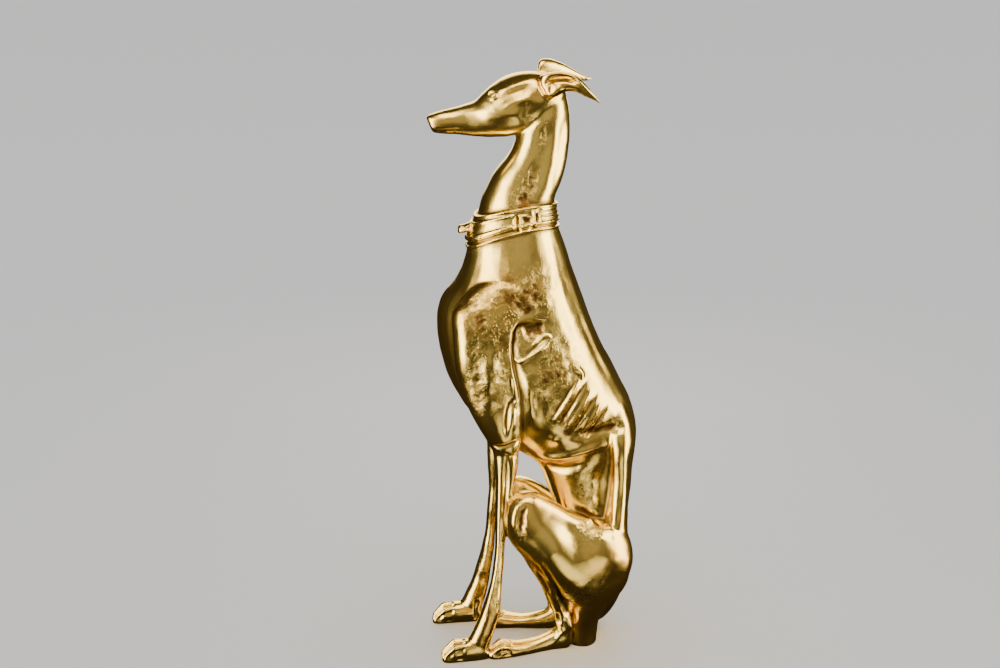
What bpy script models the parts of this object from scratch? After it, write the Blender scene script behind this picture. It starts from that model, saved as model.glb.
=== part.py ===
"""A seated greyhound statue, cast in one piece, with a collar round its neck.

The dog faces -Y and its left flank faces +X. Every form of the figure is laid out in
shares of the height, an eightieth each, and is a closed loft through a few sections.
The lofts are fused into one skin, eased where they meet, carved, thinned out and cut
flat where the paws and the rump meet the floor.
"""

import math

import bmesh
import bpy
import numpy as np
from mathutils import Vector
from mathutils.bvhtree import BVHTree

# Driving dimensions, in metres
HEIGHT = 0.800  # floor to the top of the right ear
SHARE = HEIGHT / 80.0  # the unit of every table and carving below
SKIN_CELL = 0.0024  # cell of the fused skin
TRIANGLES = 9600  # faces left after thinning out

# How the right side differs from the left, in shares
RIGHT_KNEE_DROP = 2.0
RIGHT_KNEE_IN = 0.8
RIGHT_HOCK_IN = 1.2
RIGHT_TOES_IN = 2.0
RIGHT_PAW_REACH = 0.5

# Smoothing and sampling
RING_SIDES = 28
RINGS_PER_ROW = 5
EASE_ROUNDS = 8
EASE_FACTOR = 0.5
FAR = 40.0  # farther out than any side of the figure, in shares
SIDES = {"left": 1.0, "right": -1.0}

GOLD = (0.86, 0.60, 0.22, 1.0)

# A section row is: first edge y, z; opposite edge y, z; middle x; half width in x.

# Neck base to rump, front edge and back edge
TRUNK = [
    (-6.6, 61.0, 2.6, 63.0, 0.0, 3.7),
    (-8.1, 58.0, 3.3, 59.4, 0.0, 4.4),
    (-8.6, 54.8, 4.4, 56.0, 0.0, 5.0),
    (-9.8, 51.8, 5.5, 52.6, 0.0, 5.8),
    (-11.6, 49.2, 6.6, 49.4, 0.0, 6.2),
    (-12.2, 46.2, 7.8, 46.0, 0.0, 6.4),
    (-11.8, 42.4, 9.6, 42.0, 0.0, 6.6),
    (-10.8, 38.2, 11.7, 38.2, 0.0, 6.7),
    (-8.8, 34.4, 13.5, 34.6, 0.0, 6.3),
    (-5.6, 31.2, 14.4, 31.8, 0.0, 5.6),
    (-2.2, 28.4, 14.5, 29.4, 0.0, 5.1),
    (0.8, 26.0, 14.3, 26.6, 0.0, 4.6),
    (2.2, 23.0, 14.0, 23.4, 0.0, 4.2),
    (3.4, 19.5, 13.7, 19.6, 0.0, 4.2),
    (4.0, 15.5, 13.5, 15.5, 0.0, 4.6),
    (4.4, 11.5, 13.1, 11.5, 0.0, 4.8),
    (4.6, 8.4, 12.0, 8.2, 0.0, 6.8),
    (4.7, 6.0, 10.9, 5.8, 0.0, 5.9),
    (4.8, 3.2, 9.8, 3.2, 0.0, 4.9),
    (4.8, -0.8, 9.4, -0.8, 0.0, 4.4),
]

# Neck, front edge and back edge
NECK = [
    (-8.3, 57.4, 3.2, 58.4, 0.0, 4.3),
    (-7.0, 60.4, 2.95, 62.0, 0.0, 3.95),
    (-6.45, 62.6, 3.75, 64.2, 0.0, 3.7),
    (-5.5, 64.6, 4.3, 66.2, 0.0, 3.4),
    (-4.3, 66.4, 4.7, 68.2, 0.0, 3.1),
    (-3.1, 68.0, 4.9, 70.2, 0.0, 2.9),
    (-2.3, 69.6, 4.9, 72.2, 0.0, 2.8),
    (-1.8, 71.4, 4.8, 74.2, 0.0, 2.8),
    (-1.2, 73.2, 4.3, 75.9, 0.0, 2.6),
    (-0.6, 74.8, 3.2, 77.0, 0.0, 2.2),
]

# Head, nose to nape, top edge and under edge
HEAD = [
    (-13.6, 73.05, -12.85, 71.15, 0.0, 0.75),
    (-13.2, 73.35, -12.5, 70.95, 0.0, 0.98),
    (-12.0, 73.75, -11.4, 70.8, 0.0, 1.2),
    (-10.2, 74.15, -9.7, 70.7, 0.0, 1.42),
    (-8.6, 74.55, -8.0, 70.6, 0.0, 1.65),
    (-7.2, 75.1, -6.6, 70.5, 0.0, 1.95),
    (-6.1, 76.2, -5.4, 70.4, 0.0, 2.3),
    (-4.9, 77.2, -4.4, 70.4, 0.0, 2.6),
    (-3.2, 78.15, -3.2, 70.4, 0.0, 2.9),
    (-1.4, 78.6, -1.9, 70.7, 0.0, 3.1),
    (0.5, 78.7, -0.2, 71.4, 0.0, 3.15),
    (2.3, 78.2, 1.6, 72.8, 0.0, 2.9),
    (3.8, 76.9, 3.2, 74.2, 0.0, 2.2),
    (4.5, 75.9, 4.2, 75.2, 0.0, 1.0),
]

# Shoulder blade and upper arm, front edge and back edge
SHOULDER = [
    (-1.6, 54.6, 2.4, 54.2, 2.9, 0.9),
    (-5.2, 53.2, 2.2, 51.8, 3.8, 1.7),
    (-8.4, 51.2, 0.6, 49.4, 4.5, 2.1),
    (-10.6, 48.7, -1.8, 47.4, 4.9, 2.35),
    (-10.9, 45.6, -2.9, 45.2, 5.0, 2.45),
    (-10.5, 41.6, -3.0, 41.8, 5.0, 2.45),
    (-9.6, 37.6, -2.6, 38.0, 4.9, 2.3),
    (-8.2, 34.0, -2.1, 34.4, 4.8, 2.0),
    (-6.7, 31.2, -1.8, 31.4, 4.6, 1.7),
    (-5.6, 29.2, -2.0, 29.2, 4.5, 1.4),
]

# Forearm to wrist, front edge and back edge
FORELEG = [
    (-6.2, 31.2, -2.3, 31.2, 4.4, 1.2),
    (-5.5, 28.6, -2.15, 28.6, 4.45, 1.25),
    (-5.35, 26.0, -2.35, 26.0, 4.55, 1.15),
    (-5.25, 23.0, -3.0, 23.0, 4.7, 0.98),
    (-5.25, 19.7, -3.6, 19.7, 4.9, 0.88),
    (-5.35, 16.8, -3.9, 16.8, 5.1, 0.8),
    (-5.55, 13.8, -4.15, 13.8, 5.3, 0.78),
    (-6.0, 10.8, -4.45, 10.8, 5.5, 0.86),
    (-6.8, 8.4, -4.65, 8.4, 5.7, 1.08),
    (-7.4, 6.6, -4.85, 6.4, 5.85, 1.1),
    (-8.1, 4.8, -5.4, 4.2, 5.95, 1.12),
    (-8.9, 3.0, -6.3, 1.4, 6.0, 1.15),
]

# Fore paw, heel to toes, top edge and under edge
FORE_PAW = [
    (-6.1, 1.7, -6.1, 0.1, 5.9, 0.8),
    (-7.3, 2.8, -7.1, -0.4, 5.95, 1.15),
    (-9.0, 2.85, -8.9, -0.4, 6.0, 1.35),
    (-10.6, 2.7, -10.5, -0.4, 6.0, 1.5),
    (-11.9, 2.0, -11.8, -0.4, 6.0, 1.45),
    (-12.75, 1.1, -12.7, -0.2, 6.0, 1.05),
]

# Haunch and thigh, knee to seat, top edge and under edge
THIGH = [
    (-3.6, 22.4, -4.1, 20.0, 5.5, 0.9),
    (-2.4, 23.5, -4.0, 18.4, 5.5, 1.7),
    (-0.4, 23.7, -3.2, 16.4, 5.45, 2.3),
    (2.2, 22.4, -1.6, 14.4, 5.35, 2.8),
    (4.8, 20.6, 0.6, 12.2, 5.2, 3.2),
    (7.4, 19.3, 2.6, 9.8, 5.0, 3.45),
    (10.2, 18.6, 4.6, 7.6, 4.8, 3.45),
    (12.6, 17.0, 6.9, 6.3, 4.6, 3.1),
    (13.6, 13.6, 9.2, 6.1, 4.4, 2.5),
    (13.1, 10.0, 11.2, 7.4, 4.2, 1.2),
]

# Shank, knee to hock, front edge and back edge
SHANK = [
    (-3.4, 19.6, 1.6, 21.0, 5.5, 1.4),
    (-3.1, 16.9, 2.0, 18.6, 5.5, 1.9),
    (-1.6, 14.2, 2.6, 15.9, 5.3, 1.85),
    (-0.2, 11.8, 3.4, 13.2, 5.05, 1.7),
    (1.0, 9.6, 4.2, 10.4, 4.75, 1.5),
    (1.9, 7.4, 4.7, 7.8, 4.45, 1.25),
    (2.6, 5.4, 5.0, 5.6, 4.15, 1.1),
    (3.0, 3.4, 5.4, 3.6, 3.95, 1.15),
    (3.4, 1.6, 5.5, 1.6, 3.85, 1.1),
]

# Hind foot, heel to toes, top edge and under edge
HIND_FOOT = [
    (5.5, 2.4, 5.4, 0.4, 3.75, 0.7),
    (4.6, 3.6, 4.7, -0.4, 3.8, 1.1),
    (2.6, 2.6, 2.8, -0.4, 4.0, 1.2),
    (0.2, 1.9, 0.4, -0.4, 4.55, 1.3),
    (-2.2, 1.85, -2.0, -0.4, 5.15, 1.5),
    (-4.0, 2.2, -3.8, -0.4, 5.5, 1.6),
    (-5.4, 1.9, -5.2, -0.4, 5.75, 1.5),
    (-6.3, 1.1, -6.2, -0.2, 5.95, 1.05),
]

# Loin column above the haunches, front edge and back edge
LOIN = [
    (8.6, 37.4, 10.8, 37.8, 2.2, 0.6),
    (9.0, 34.0, 12.4, 34.6, 2.7, 1.4),
    (9.6, 30.2, 13.5, 30.6, 3.1, 2.3),
    (10.1, 26.4, 13.3, 26.6, 3.1, 2.3),
    (10.2, 22.2, 13.0, 22.2, 3.2, 2.2),
    (9.4, 18.0, 12.9, 17.8, 3.6, 2.4),
    (8.2, 14.0, 12.8, 13.6, 4.0, 2.6),
]

# Ears, root to tip, upper edge and lower edge
LEFT_EAR = [
    (0.4, 78.15, 0.65, 76.9, 2.9, 0.7),
    (1.0, 78.55, 1.1, 76.05, 3.2, 0.85),
    (1.8, 78.85, 2.0, 75.5, 3.4, 0.9),
    (2.8, 79.0, 2.85, 75.9, 3.6, 0.85),
    (3.9, 79.0, 3.8, 76.5, 3.8, 0.75),
    (5.15, 78.5, 5.05, 76.4, 4.0, 0.6),
    (6.3, 77.45, 6.15, 75.8, 4.2, 0.45),
    (7.4, 76.25, 7.2, 75.3, 4.4, 0.32),
    (8.4, 75.05, 8.3, 74.75, 4.5, 0.18),
]
RIGHT_EAR = [
    (1.1, 79.4, 0.9, 77.6, -2.2, 0.6),
    (1.5, 79.95, 1.5, 77.4, -2.6, 0.85),
    (2.6, 80.0, 2.6, 77.3, -3.0, 0.9),
    (3.85, 79.6, 3.7, 77.2, -3.3, 0.8),
    (5.1, 78.95, 5.0, 77.2, -3.6, 0.62),
    (6.3, 78.25, 6.2, 77.0, -3.9, 0.45),
    (7.45, 77.65, 7.4, 76.9, -4.1, 0.32),
    (8.5, 77.35, 8.5, 77.0, -4.2, 0.18),
]

# Tail, from between the haunches down and round the right side: x, y, z, radius
TAIL = [
    (0.0, 12.4, 14.5, 0.9),
    (0.0, 13.0, 11.0, 1.15),
    (-0.2, 12.2, 7.0, 1.15),
    (-0.9, 10.6, 3.4, 1.1),
    (-3.0, 9.7, 1.3, 1.05),
    (-5.6, 8.9, 0.8, 0.95),
    (-7.7, 7.9, 0.7, 0.85),
    (-8.4, 6.7, 0.6, 0.7),
    (-8.4, 5.7, 0.5, 0.45),
]

# Collar, a raised band. Its middle line is highest near the nape and bows down to the throat.
COLLAR_CREST = (1.2, 60.8)  # y and z of the highest place
COLLAR_BOW = 0.0278  # fall for each square share from there
STRAP_HALF = 1.05  # half the strap's width
STRAP_THICKNESS = 0.3
STRAP_EDGE = 0.14  # how wide its rounded edge is
RIM = (0.24, 0.22)  # width and height of the beads on both edges
CORD = (1.85, 0.22, 0.28)  # how far below the middle, width and height of the thin lower ring
STUB = [(0.0, -7.6, 58.8, 0.5), (0.0, -8.8, 58.5, 0.36), (0.0, -9.4, 58.4, 0.42)]

# Toes: four on a paw, parted by gaps and raised over the knuckles
TOES = 4
TOE_LENGTH = 3.0
TOE_TOP = 3.4
TOE_SOLE = 0.4  # the sole stays whole below this height
TOE_FADE = 8.0  # how sharply the toes end on all sides
TOE_BREADTH = {"fore": 0.74, "hind": 0.76}
TOE_SPLAY = {"fore": 0.1, "hind": 0.3}
TOE_GAP = (0.26, 0.45)  # width and depth
KNUCKLE = (1.7, 0.55, 0.16)  # back from the tip, width and height

# Carving. Each stroke has a width, a height off the surface (below it where negative)
# and a route. A stroke on the flank has its route in y, z and is cut on both sides.
SHOULDER_EDGE = [
    (0.2, 47.4), (-1.5, 47.3), (-2.8, 47.0), (-3.4, 45.5), (-3.5, 43.5), (-3.1, 41.0),
    (-2.6, 38.6), (-2.3, 35.7), (-1.9, 31.6),
]
FLANK_STROKES = [
    # hollow behind the shoulder and the hooked fold below it
    (1.1, -0.4, [(-1.7, 45.2), (-0.4, 45.9), (1.2, 46.5)]),
    (0.45, -0.25, [(-2.4, 46.4), (-0.6, 46.6), (1.6, 47.1)]),
    (0.3, 0.28, [(-3.1, 42.8), (-2.6, 42.2), (-1.9, 42.2), (-0.3, 43.1), (1.0, 44.0), (1.75, 44.9)]),
    (0.28, 0.24, [(-1.2, 43.6), (-0.5, 44.2), (0.4, 44.95), (1.2, 45.4), (1.75, 44.9)]),
    # soft column behind the shoulder's edge
    (0.7, 0.22, [(-1.2, 41.0), (-0.9, 38.0), (-0.6, 35.0), (-0.3, 32.5)]),
    (0.8, -0.14, [(0.5, 39.6), (0.5, 36.0), (0.9, 32.4)]),
    # point of the shoulder, upper arm and elbow
    (1.9, 0.3, [(-10.0, 48.2)]),
    (1.5, 0.1, [(-10.1, 48.2), (-9.7, 44.0), (-9.2, 40.0)]),
    (1.2, -0.16, [(-8.4, 48.6), (-8.0, 43.0), (-7.4, 37.0)]),
    (0.8, -0.15, [(-10.4, 50.4), (-8.2, 50.2), (-6.0, 50.6)]),
    (1.1, 0.25, [(-6.4, 44.0), (-6.0, 38.0)]),
    (0.4, -0.42, [(-2.9, 37.2), (-3.6, 36.0), (-3.95, 34.0), (-4.0, 31.6)]),
    (0.5, 0.2, [(-3.1, 36.0), (-3.1, 32.6)]),
    (0.32, -0.3, [(-6.0, 30.5), (-4.6, 30.4), (-3.2, 30.8), (-2.0, 31.0)]),
    # curl above the ribs, hollow under the last one, the knob and the flank folds
    (0.4, 0.3, [(4.9, 40.8), (5.9, 40.2), (6.2, 39.0)]),
    (0.75, -0.5, [(3.8, 31.2), (7.1, 31.5), (10.0, 31.9), (12.9, 32.3)]),
    (0.9, 0.35, [(2.5, 30.9)]),
    (0.6, 0.3, [(-0.2, 27.7), (3.4, 28.0), (7.3, 29.2), (10.4, 29.9)]),
    (0.7, -0.45, [(1.2, 26.3), (4.0, 26.2), (7.6, 27.4)]),
    # groove beside the spine, and the hollow between the belly and the loin
    (0.8, -0.15, [(2.4, 57.2), (3.8, 53.3), (5.0, 49.6), (6.2, 46.5), (8.2, 42.0), (11.4, 35.3)]),
    (1.0, -0.4, [(9.0, 26.8), (9.2, 22.6), (9.0, 18.4)]),
    (0.8, 0.22, [(11.6, 31.2), (11.9, 27.0), (11.9, 22.0), (11.4, 17.6)]),
    # knee, thigh and haunch
    (0.5, 0.22, [(-1.3, 23.2), (-2.6, 22.0), (-3.1, 20.2), (-2.5, 18.0)]),
    (0.45, -0.2, [(-1.2, 22.6), (-2.0, 20.9), (-2.0, 18.6)]),
    (2.4, 0.55, [(-0.6, 18.4), (1.4, 15.6), (3.4, 13.0), (5.6, 10.2), (7.8, 8.6)]),
    (2.0, -0.4, [(-0.6, 22.6), (2.4, 20.4), (5.6, 18.0), (8.4, 16.4)]),
    (1.4, -0.2, [(3.6, 20.0), (5.0, 17.4), (6.2, 14.6)]),
    (2.2, 0.4, [(9.9, 14.6)]),
    (0.45, -0.5, [(0.6, 14.8), (1.8, 12.4), (3.0, 9.8), (4.1, 6.8), (4.8, 4.6)]),
    (0.5, -0.4, [(5.2, 20.9), (7.4, 19.5), (9.0, 18.6)]),
    (0.42, 0.4, [(7.4, 19.2)]),
    # hock
    (0.4, 0.3, [(4.6, 5.0), (5.2, 2.6)]),
    (0.35, -0.3, [(3.2, 5.8), (3.5, 3.9)]),
    # forearm
    (0.4, 0.24, [(-4.9, 28.9), (-4.8, 22.0), (-4.9, 17.0), (-5.3, 12.6), (-6.3, 8.6), (-7.3, 6.2)]),
    (0.32, -0.32, [(-3.85, 29.2), (-3.9, 25.9), (-4.0, 23.2), (-4.3, 20.4)]),
    # neck
    (0.8, -0.32, [(1.8, 73.4), (1.4, 70.6), (0.8, 68.0), (-0.1, 65.8), (-1.0, 63.8), (-1.6, 61.6)]),
    (1.5, -0.25, [(0.4, 67.4), (-1.0, 64.0), (-1.6, 61.4)]),
    (0.8, -0.2, [(3.9, 73.2), (3.8, 70.6), (3.2, 66.8), (2.4, 63.6)]),
    # eye, brow, temple, cheekbone and cheek
    (0.8, -0.16, [(-5.25, 75.9)]),
    (0.4, 0.4, [(-5.25, 75.9)]),
    (0.35, 0.22, [(-4.6, 76.6), (-3.6, 76.8), (-2.2, 77.2), (0.4, 78.1)]),
    (0.8, -0.32, [(-5.2, 74.6), (-4.2, 75.2), (-3.0, 76.0), (-1.5, 76.7), (0.1, 77.1)]),
    (0.35, 0.2, [(-4.8, 74.3), (-3.2, 75.0), (-1.5, 75.5), (-0.3, 75.7)]),
    (0.7, 0.14, [(-8.9, 74.0), (-5.4, 73.5), (-3.2, 73.5), (-1.7, 73.6)]),
    (1.1, -0.2, [(-1.1, 75.4), (-0.9, 73.8), (-0.3, 71.6)]),
]
# The ears' rolled rims and the hollows under them, each side its own
EAR_STROKES = {
    "left": [
        (0.28, 0.24, [(0.5, 78.3), (1.2, 78.45), (2.35, 78.7), (3.35, 78.75), (4.5, 78.4),
                      (5.4, 77.75), (6.3, 76.85), (7.2, 75.9)]),
        (0.35, -0.55, [(1.1, 77.4), (1.85, 77.95), (3.0, 78.15), (4.2, 78.0), (5.1, 77.5)]),
        (0.45, 0.28, [(1.2, 77.0), (1.8, 76.2), (2.6, 76.8), (3.6, 77.1)]),
    ],
    "right": [
        (0.4, -0.5, [(2.2, 78.6), (3.8, 78.4), (5.6, 77.9)]),
        (0.35, 0.3, [(1.2, 78.0), (1.8, 77.2), (3.2, 77.4)]),
    ],
}
RIBS = 3
RIB_WIDTH = 0.32
RIB_HEIGHT = 0.34
RIB_FROM = ((5.7, 39.3), (1.6, -1.7))  # upper end of the first rib, and the step to the next
RIB_TO = ((2.1, 33.3), (1.75, -1.3))  # lower end of the first rib, and the step to the next
RIB_GAP = (0.85, -0.5)  # from a rib to the groove under it
EDGE_WIDTH = 0.5
EDGE_HEIGHT = 0.42
EDGE_FACE = 0.35  # the step's face, as a share of the edge's width
TAPER = 3.5  # how fast a stroke dies out towards its ends
BLUNT = 0.08  # what is left of its height at the very ends
ROUTE_STEPS = 4  # points read between two of a route's own


def eased(rows, steps=RINGS_PER_ROW):
    """Rows read from a smooth curve through the given rows."""
    given = np.asarray(rows, float)
    ends = [2 * given[0] - given[1]], [2 * given[-1] - given[-2]]
    knots = np.vstack([ends[0], given, ends[1]])
    found = []
    for a, b, c, d in zip(knots, knots[1:], knots[2:], knots[3:]):
        for step in range(steps):
            t = step / steps
            found.append(
                0.5 * (2 * b + (c - a) * t + (2 * a - 5 * b + 4 * c - d) * t**2
                       + (3 * b - a - 3 * c + d) * t**3)
            )
    return np.array(found + [given[-1]])


def bridge(bm, rings):
    """A closed tube through rings of vertices."""
    for lower, upper in zip(rings, rings[1:]):
        loops = {edge for vert in lower + upper for edge in vert.link_edges}
        between = [edge for edge in loops if len(edge.link_faces) < 2
                   and not (edge.verts[0] in lower) ^ (edge.verts[1] in lower)]
        bmesh.ops.bridge_loops(bm, edges=between)
    for end in (rings[0], rings[-1]):
        bmesh.ops.contextual_create(bm, geom=end)


def ring(bm, middle, along, across, fullness=1.0):
    """A ring of vertices round the middle, reaching along and across it."""
    verts = bmesh.ops.create_circle(bm, segments=RING_SIDES, radius=1.0)["verts"]
    for vert in verts:
        u, v = vert.co.x, vert.co.y
        v = math.copysign(abs(v) ** fullness, v)
        vert.co = middle + u * along + v * across
    return verts


def loft(bm, rows, mirrored=1.0, fullness=0.85):
    """A closed form through section rows, on the given side of the figure."""
    rings = []
    for y1, z1, y2, z2, x, half in eased(rows):
        middle = Vector((x * mirrored, (y1 + y2) / 2, (z1 + z2) / 2))
        along = Vector((0, (y1 - y2) / 2, (z1 - z2) / 2))
        across = Vector((half, 0, 0))
        rings.append(ring(bm, middle, along, across, fullness))
    bridge(bm, rings)


def tube(bm, rows):
    """A round tube through x, y, z, radius rows."""
    path = eased(rows)
    heads = np.gradient(path[:, :3], axis=0)
    rings = []
    for (x, y, z, radius), head in zip(path, heads):
        head = Vector(head).normalized()
        side = head.cross(Vector((0.3, 1.0, 0.2))).normalized()
        rings.append(ring(bm, Vector((x, y, z)), side * radius, head.cross(side) * radius))
    bridge(bm, rings)


def shifted(rows, first_in, last_in, first_drop=0.0):
    """The rows nearer the middle by an amount that changes along them, the first one lower."""
    moved = []
    for place, (y1, z1, y2, z2, x, half) in enumerate(rows):
        share = place / (len(rows) - 1)
        drop = first_drop * (1 - share)
        inward = first_in + (last_in - first_in) * share
        moved.append((y1, z1 - drop, y2, z2 - drop, x - inward, half))
    return moved


def reached(rows, reach):
    """The rows with the last one farther forward, the first one in place."""
    moved = []
    for place, (y1, z1, y2, z2, x, half) in enumerate(rows):
        share = place / (len(rows) - 1)
        moved.append((y1 - reach * share, z1, y2 - reach * share, z2, x, half))
    return moved


def paws():
    """Each paw's kind and rows, left ones first, with the side it is on."""
    right_hind = shifted(HIND_FOOT, RIGHT_HOCK_IN, RIGHT_TOES_IN)
    return [
        ("fore", FORE_PAW, SIDES["left"]),
        ("fore", reached(FORE_PAW, RIGHT_PAW_REACH), SIDES["right"]),
        ("hind", HIND_FOOT, SIDES["left"]),
        ("hind", right_hind, SIDES["right"]),
    ]


def figure_forms():
    """The figure's closed forms, still separate, as one bmesh."""
    bm = bmesh.new()
    loft(bm, TRUNK)
    loft(bm, NECK)
    loft(bm, HEAD)
    for side in SIDES.values():
        for rows in (SHOULDER, FORELEG, LOIN):
            loft(bm, rows, side)
    loft(bm, THIGH)
    loft(bm, SHANK)
    loft(bm, shifted(THIGH, RIGHT_KNEE_IN, 0.0, RIGHT_KNEE_DROP), SIDES["right"])
    loft(bm, shifted(SHANK, RIGHT_KNEE_IN, RIGHT_HOCK_IN), SIDES["right"])
    for _, rows, side in paws():
        loft(bm, rows, side)
    loft(bm, LEFT_EAR)
    loft(bm, RIGHT_EAR)
    tube(bm, TAIL)
    tube(bm, STUB)
    bmesh.ops.recalc_face_normals(bm, faces=bm.faces)
    bmesh.ops.scale(bm, verts=bm.verts, vec=(SHARE, SHARE, SHARE))
    return bm


def evaluated_copy(obj):
    """The object's mesh with its modifiers worked in."""
    graph = bpy.context.evaluated_depsgraph_get()
    return bpy.data.meshes.new_from_object(obj.evaluated_get(graph))


def settle(obj):
    """Works the object's modifiers into its mesh."""
    done = evaluated_copy(obj)
    old = obj.data
    obj.modifiers.clear()
    obj.data = done
    bpy.data.meshes.remove(old)


def fuse(obj):
    """One eased skin round all the forms."""
    skin = obj.modifiers.new("skin", "REMESH")
    skin.mode = "VOXEL"
    skin.voxel_size = SKIN_CELL
    ease = obj.modifiers.new("ease", "SMOOTH")
    ease.factor = EASE_FACTOR
    ease.iterations = EASE_ROUNDS
    settle(obj)


def laid_on(tree, points, side):
    """A flank route in y, z laid on the surface of the given side."""
    found = []
    for y, z in points:
        start = Vector((side * FAR, y, z)) * SHARE
        hit = tree.ray_cast(start, Vector((-side, 0, 0)))[0]
        if hit is not None and hit.x * side > 0:
            found.append(hit / SHARE)
    return np.array(found)


def nearest_on(route, spots):
    """For each spot: its distance from the route, its place along it from 0 to 1, and
    1 or -1 for the side of the route that it lies on, seen from the flank."""
    if len(route) == 1:
        route = np.vstack([route, route + 1e-6])
    starts, steps = route[:-1], np.diff(route, axis=0)
    lengths = np.maximum((steps**2).sum(axis=1), 1e-12)
    from_start = spots[:, None, :] - starts[None]
    share = np.clip((from_start * steps).sum(axis=2) / lengths, 0, 1)
    away = from_start - share[..., None] * steps
    distance = np.sqrt((away**2).sum(axis=2))
    best = distance.argmin(axis=1)
    rows = np.arange(len(spots))
    place = (best + share[rows, best]) / len(starts)
    step = steps[best]
    gap = away[rows, best]
    behind = step[:, 2] * gap[:, 1] - step[:, 1] * gap[:, 2]
    return distance[rows, best], place, np.sign(behind)


def bead(away, width):
    """A rounded ridge's height, from 0 to 1, at a distance from its middle."""
    return np.exp(-((away / width) ** 2))


def within(value, limit, sharpness):
    """1 below the limit and 0 above it, with a soft change between."""
    return 0.5 - 0.5 * np.tanh((value - limit) * sharpness / 2)


def collar_relief(spots):
    """How far the strap, its beads and the thin ring below it stand off the skin."""
    y, z = spots[:, 1], spots[:, 2]
    from_crest = y - COLLAR_CREST[0]
    slope = 2 * COLLAR_BOW * from_crest
    up = (z - COLLAR_CREST[1] + COLLAR_BOW * from_crest**2) / np.sqrt(1 + slope**2)
    strap = STRAP_THICKNESS * within(np.abs(up), STRAP_HALF + STRAP_EDGE, 3 / STRAP_EDGE)
    rim_width, rim_height = RIM
    below, cord_width, cord_height = CORD
    rims = rim_height * bead(np.abs(up) - STRAP_HALF, rim_width)
    return strap + rims + cord_height * bead(up + below, cord_width)


def toe_relief(spots, kind, rows, side):
    """How far the toes of one paw stand off the skin."""
    x, y, z = spots.T
    back = y - rows[-1][0]
    from_middle = x - rows[-2][4] * side
    breadth = TOE_BREADTH[kind]
    spread = 1.0 - TOE_SPLAY[kind] * (back - 1.0) / TOE_LENGTH
    across = from_middle / (breadth * spread)
    from_gap = (across - np.round(across)) * breadth
    near = within(np.abs(across), TOES / 2, TOE_FADE) * within(back, TOE_LENGTH, TOE_FADE)
    near *= within(z, TOE_TOP, TOE_FADE) * within(-z, -TOE_SOLE, TOE_FADE)
    near *= (np.abs(from_middle) < 2 * TOES * breadth) & (back > -1.0)
    gap_width, gap_depth = TOE_GAP
    at, knuckle_width, knuckle_height = KNUCKLE
    knuckles = knuckle_height * bead(back - at, knuckle_width)
    return near * (knuckles - gap_depth * bead(from_gap, gap_width))


def flank_strokes():
    """The carving that both flanks share, with the ribs and the grooves under them."""
    strokes = list(FLANK_STROKES)
    for rib in range(RIBS):
        ends = [(at[0] + rib * step[0], at[1] + rib * step[1]) for at, step in (RIB_FROM, RIB_TO)]
        gap = [(y + RIB_GAP[0], z + RIB_GAP[1]) for y, z in ends]
        strokes.append((RIB_WIDTH, RIB_HEIGHT, ends))
        strokes.append((RIB_WIDTH, -RIB_HEIGHT, gap))
    return strokes


def route_on(tree, points, side):
    """A stroke's route, eased and laid on the surface of the given side."""
    route = points if len(points) == 1 else eased(points, ROUTE_STEPS)
    return laid_on(tree, route, side)


def reached_by(spots, route, width):
    """The numbers of the spots that a stroke of this width can move."""
    low, high = route.min(axis=0) - 3 * width, route.max(axis=0) + 3 * width
    return np.flatnonzero(((spots > low) & (spots < high)).all(axis=1))


def tapered(place):
    """A stroke's share of its height, from 0 to 1, at a place along it."""
    return np.clip(np.minimum(place, 1 - place) * TAPER + BLUNT, 0, 1)


def carve(obj):
    """Ridges, grooves, hollows and the shoulder's edge, cut by moving the skin."""
    mesh = obj.data
    count = len(mesh.vertices)
    spots = np.empty(count * 3, np.float32)
    mesh.vertices.foreach_get("co", spots)
    spots = spots.reshape(-1, 3).astype(float) / SHARE
    outward = np.array([vert.normal for vert in mesh.vertices])
    bm = bmesh.new()
    bm.from_mesh(mesh)
    tree = BVHTree.FromBMesh(bm)
    bm.free()
    moves = collar_relief(spots)
    for kind, rows, side in paws():
        moves += toe_relief(spots, kind, rows, side)
    for name, side in SIDES.items():
        for width, height, points in flank_strokes() + EAR_STROKES[name]:
            route = route_on(tree, points, side)
            near = reached_by(spots, route, width)
            distance, place, _ = nearest_on(route, spots[near])
            ends = tapered(place) if len(points) > 1 else 1.0
            moves[near] += height * ends * bead(distance, width)
        route = route_on(tree, SHOULDER_EDGE, side)
        near = reached_by(spots, route, 2 * EDGE_WIDTH)
        distance, place, behind = nearest_on(route, spots[near])
        rise = np.tanh(distance * behind / (EDGE_FACE * EDGE_WIDTH)) * bead(distance, 2 * EDGE_WIDTH)
        moves[near] += EDGE_HEIGHT * tapered(place) * rise
    spots += outward * moves[:, None]
    mesh.vertices.foreach_set("co", (spots * SHARE).astype(np.float32).ravel())
    mesh.update()


def thin_out(obj):
    """Fewer faces, more where the surface bends."""
    thin = obj.modifiers.new("thin", "DECIMATE")
    triangles = sum(len(face.vertices) - 2 for face in obj.data.polygons)
    thin.ratio = min(1.0, TRIANGLES / triangles)
    settle(obj)


def drop_crumbs(bm):
    """Leaves only the largest body, without any crumb that the carving cut off."""
    bodies = []
    left = set(bm.verts)
    while left:
        start = left.pop()
        body, front = {start}, [start]
        while front:
            for edge in front.pop().link_edges:
                found = set(edge.verts) & left
                left -= found
                body |= found
                front.extend(found)
        bodies.append(body)
    largest = max(bodies, key=len)
    crumbs = [vert for vert in bm.verts if vert not in largest]
    bmesh.ops.delete(bm, geom=crumbs, context="VERTS")


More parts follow.
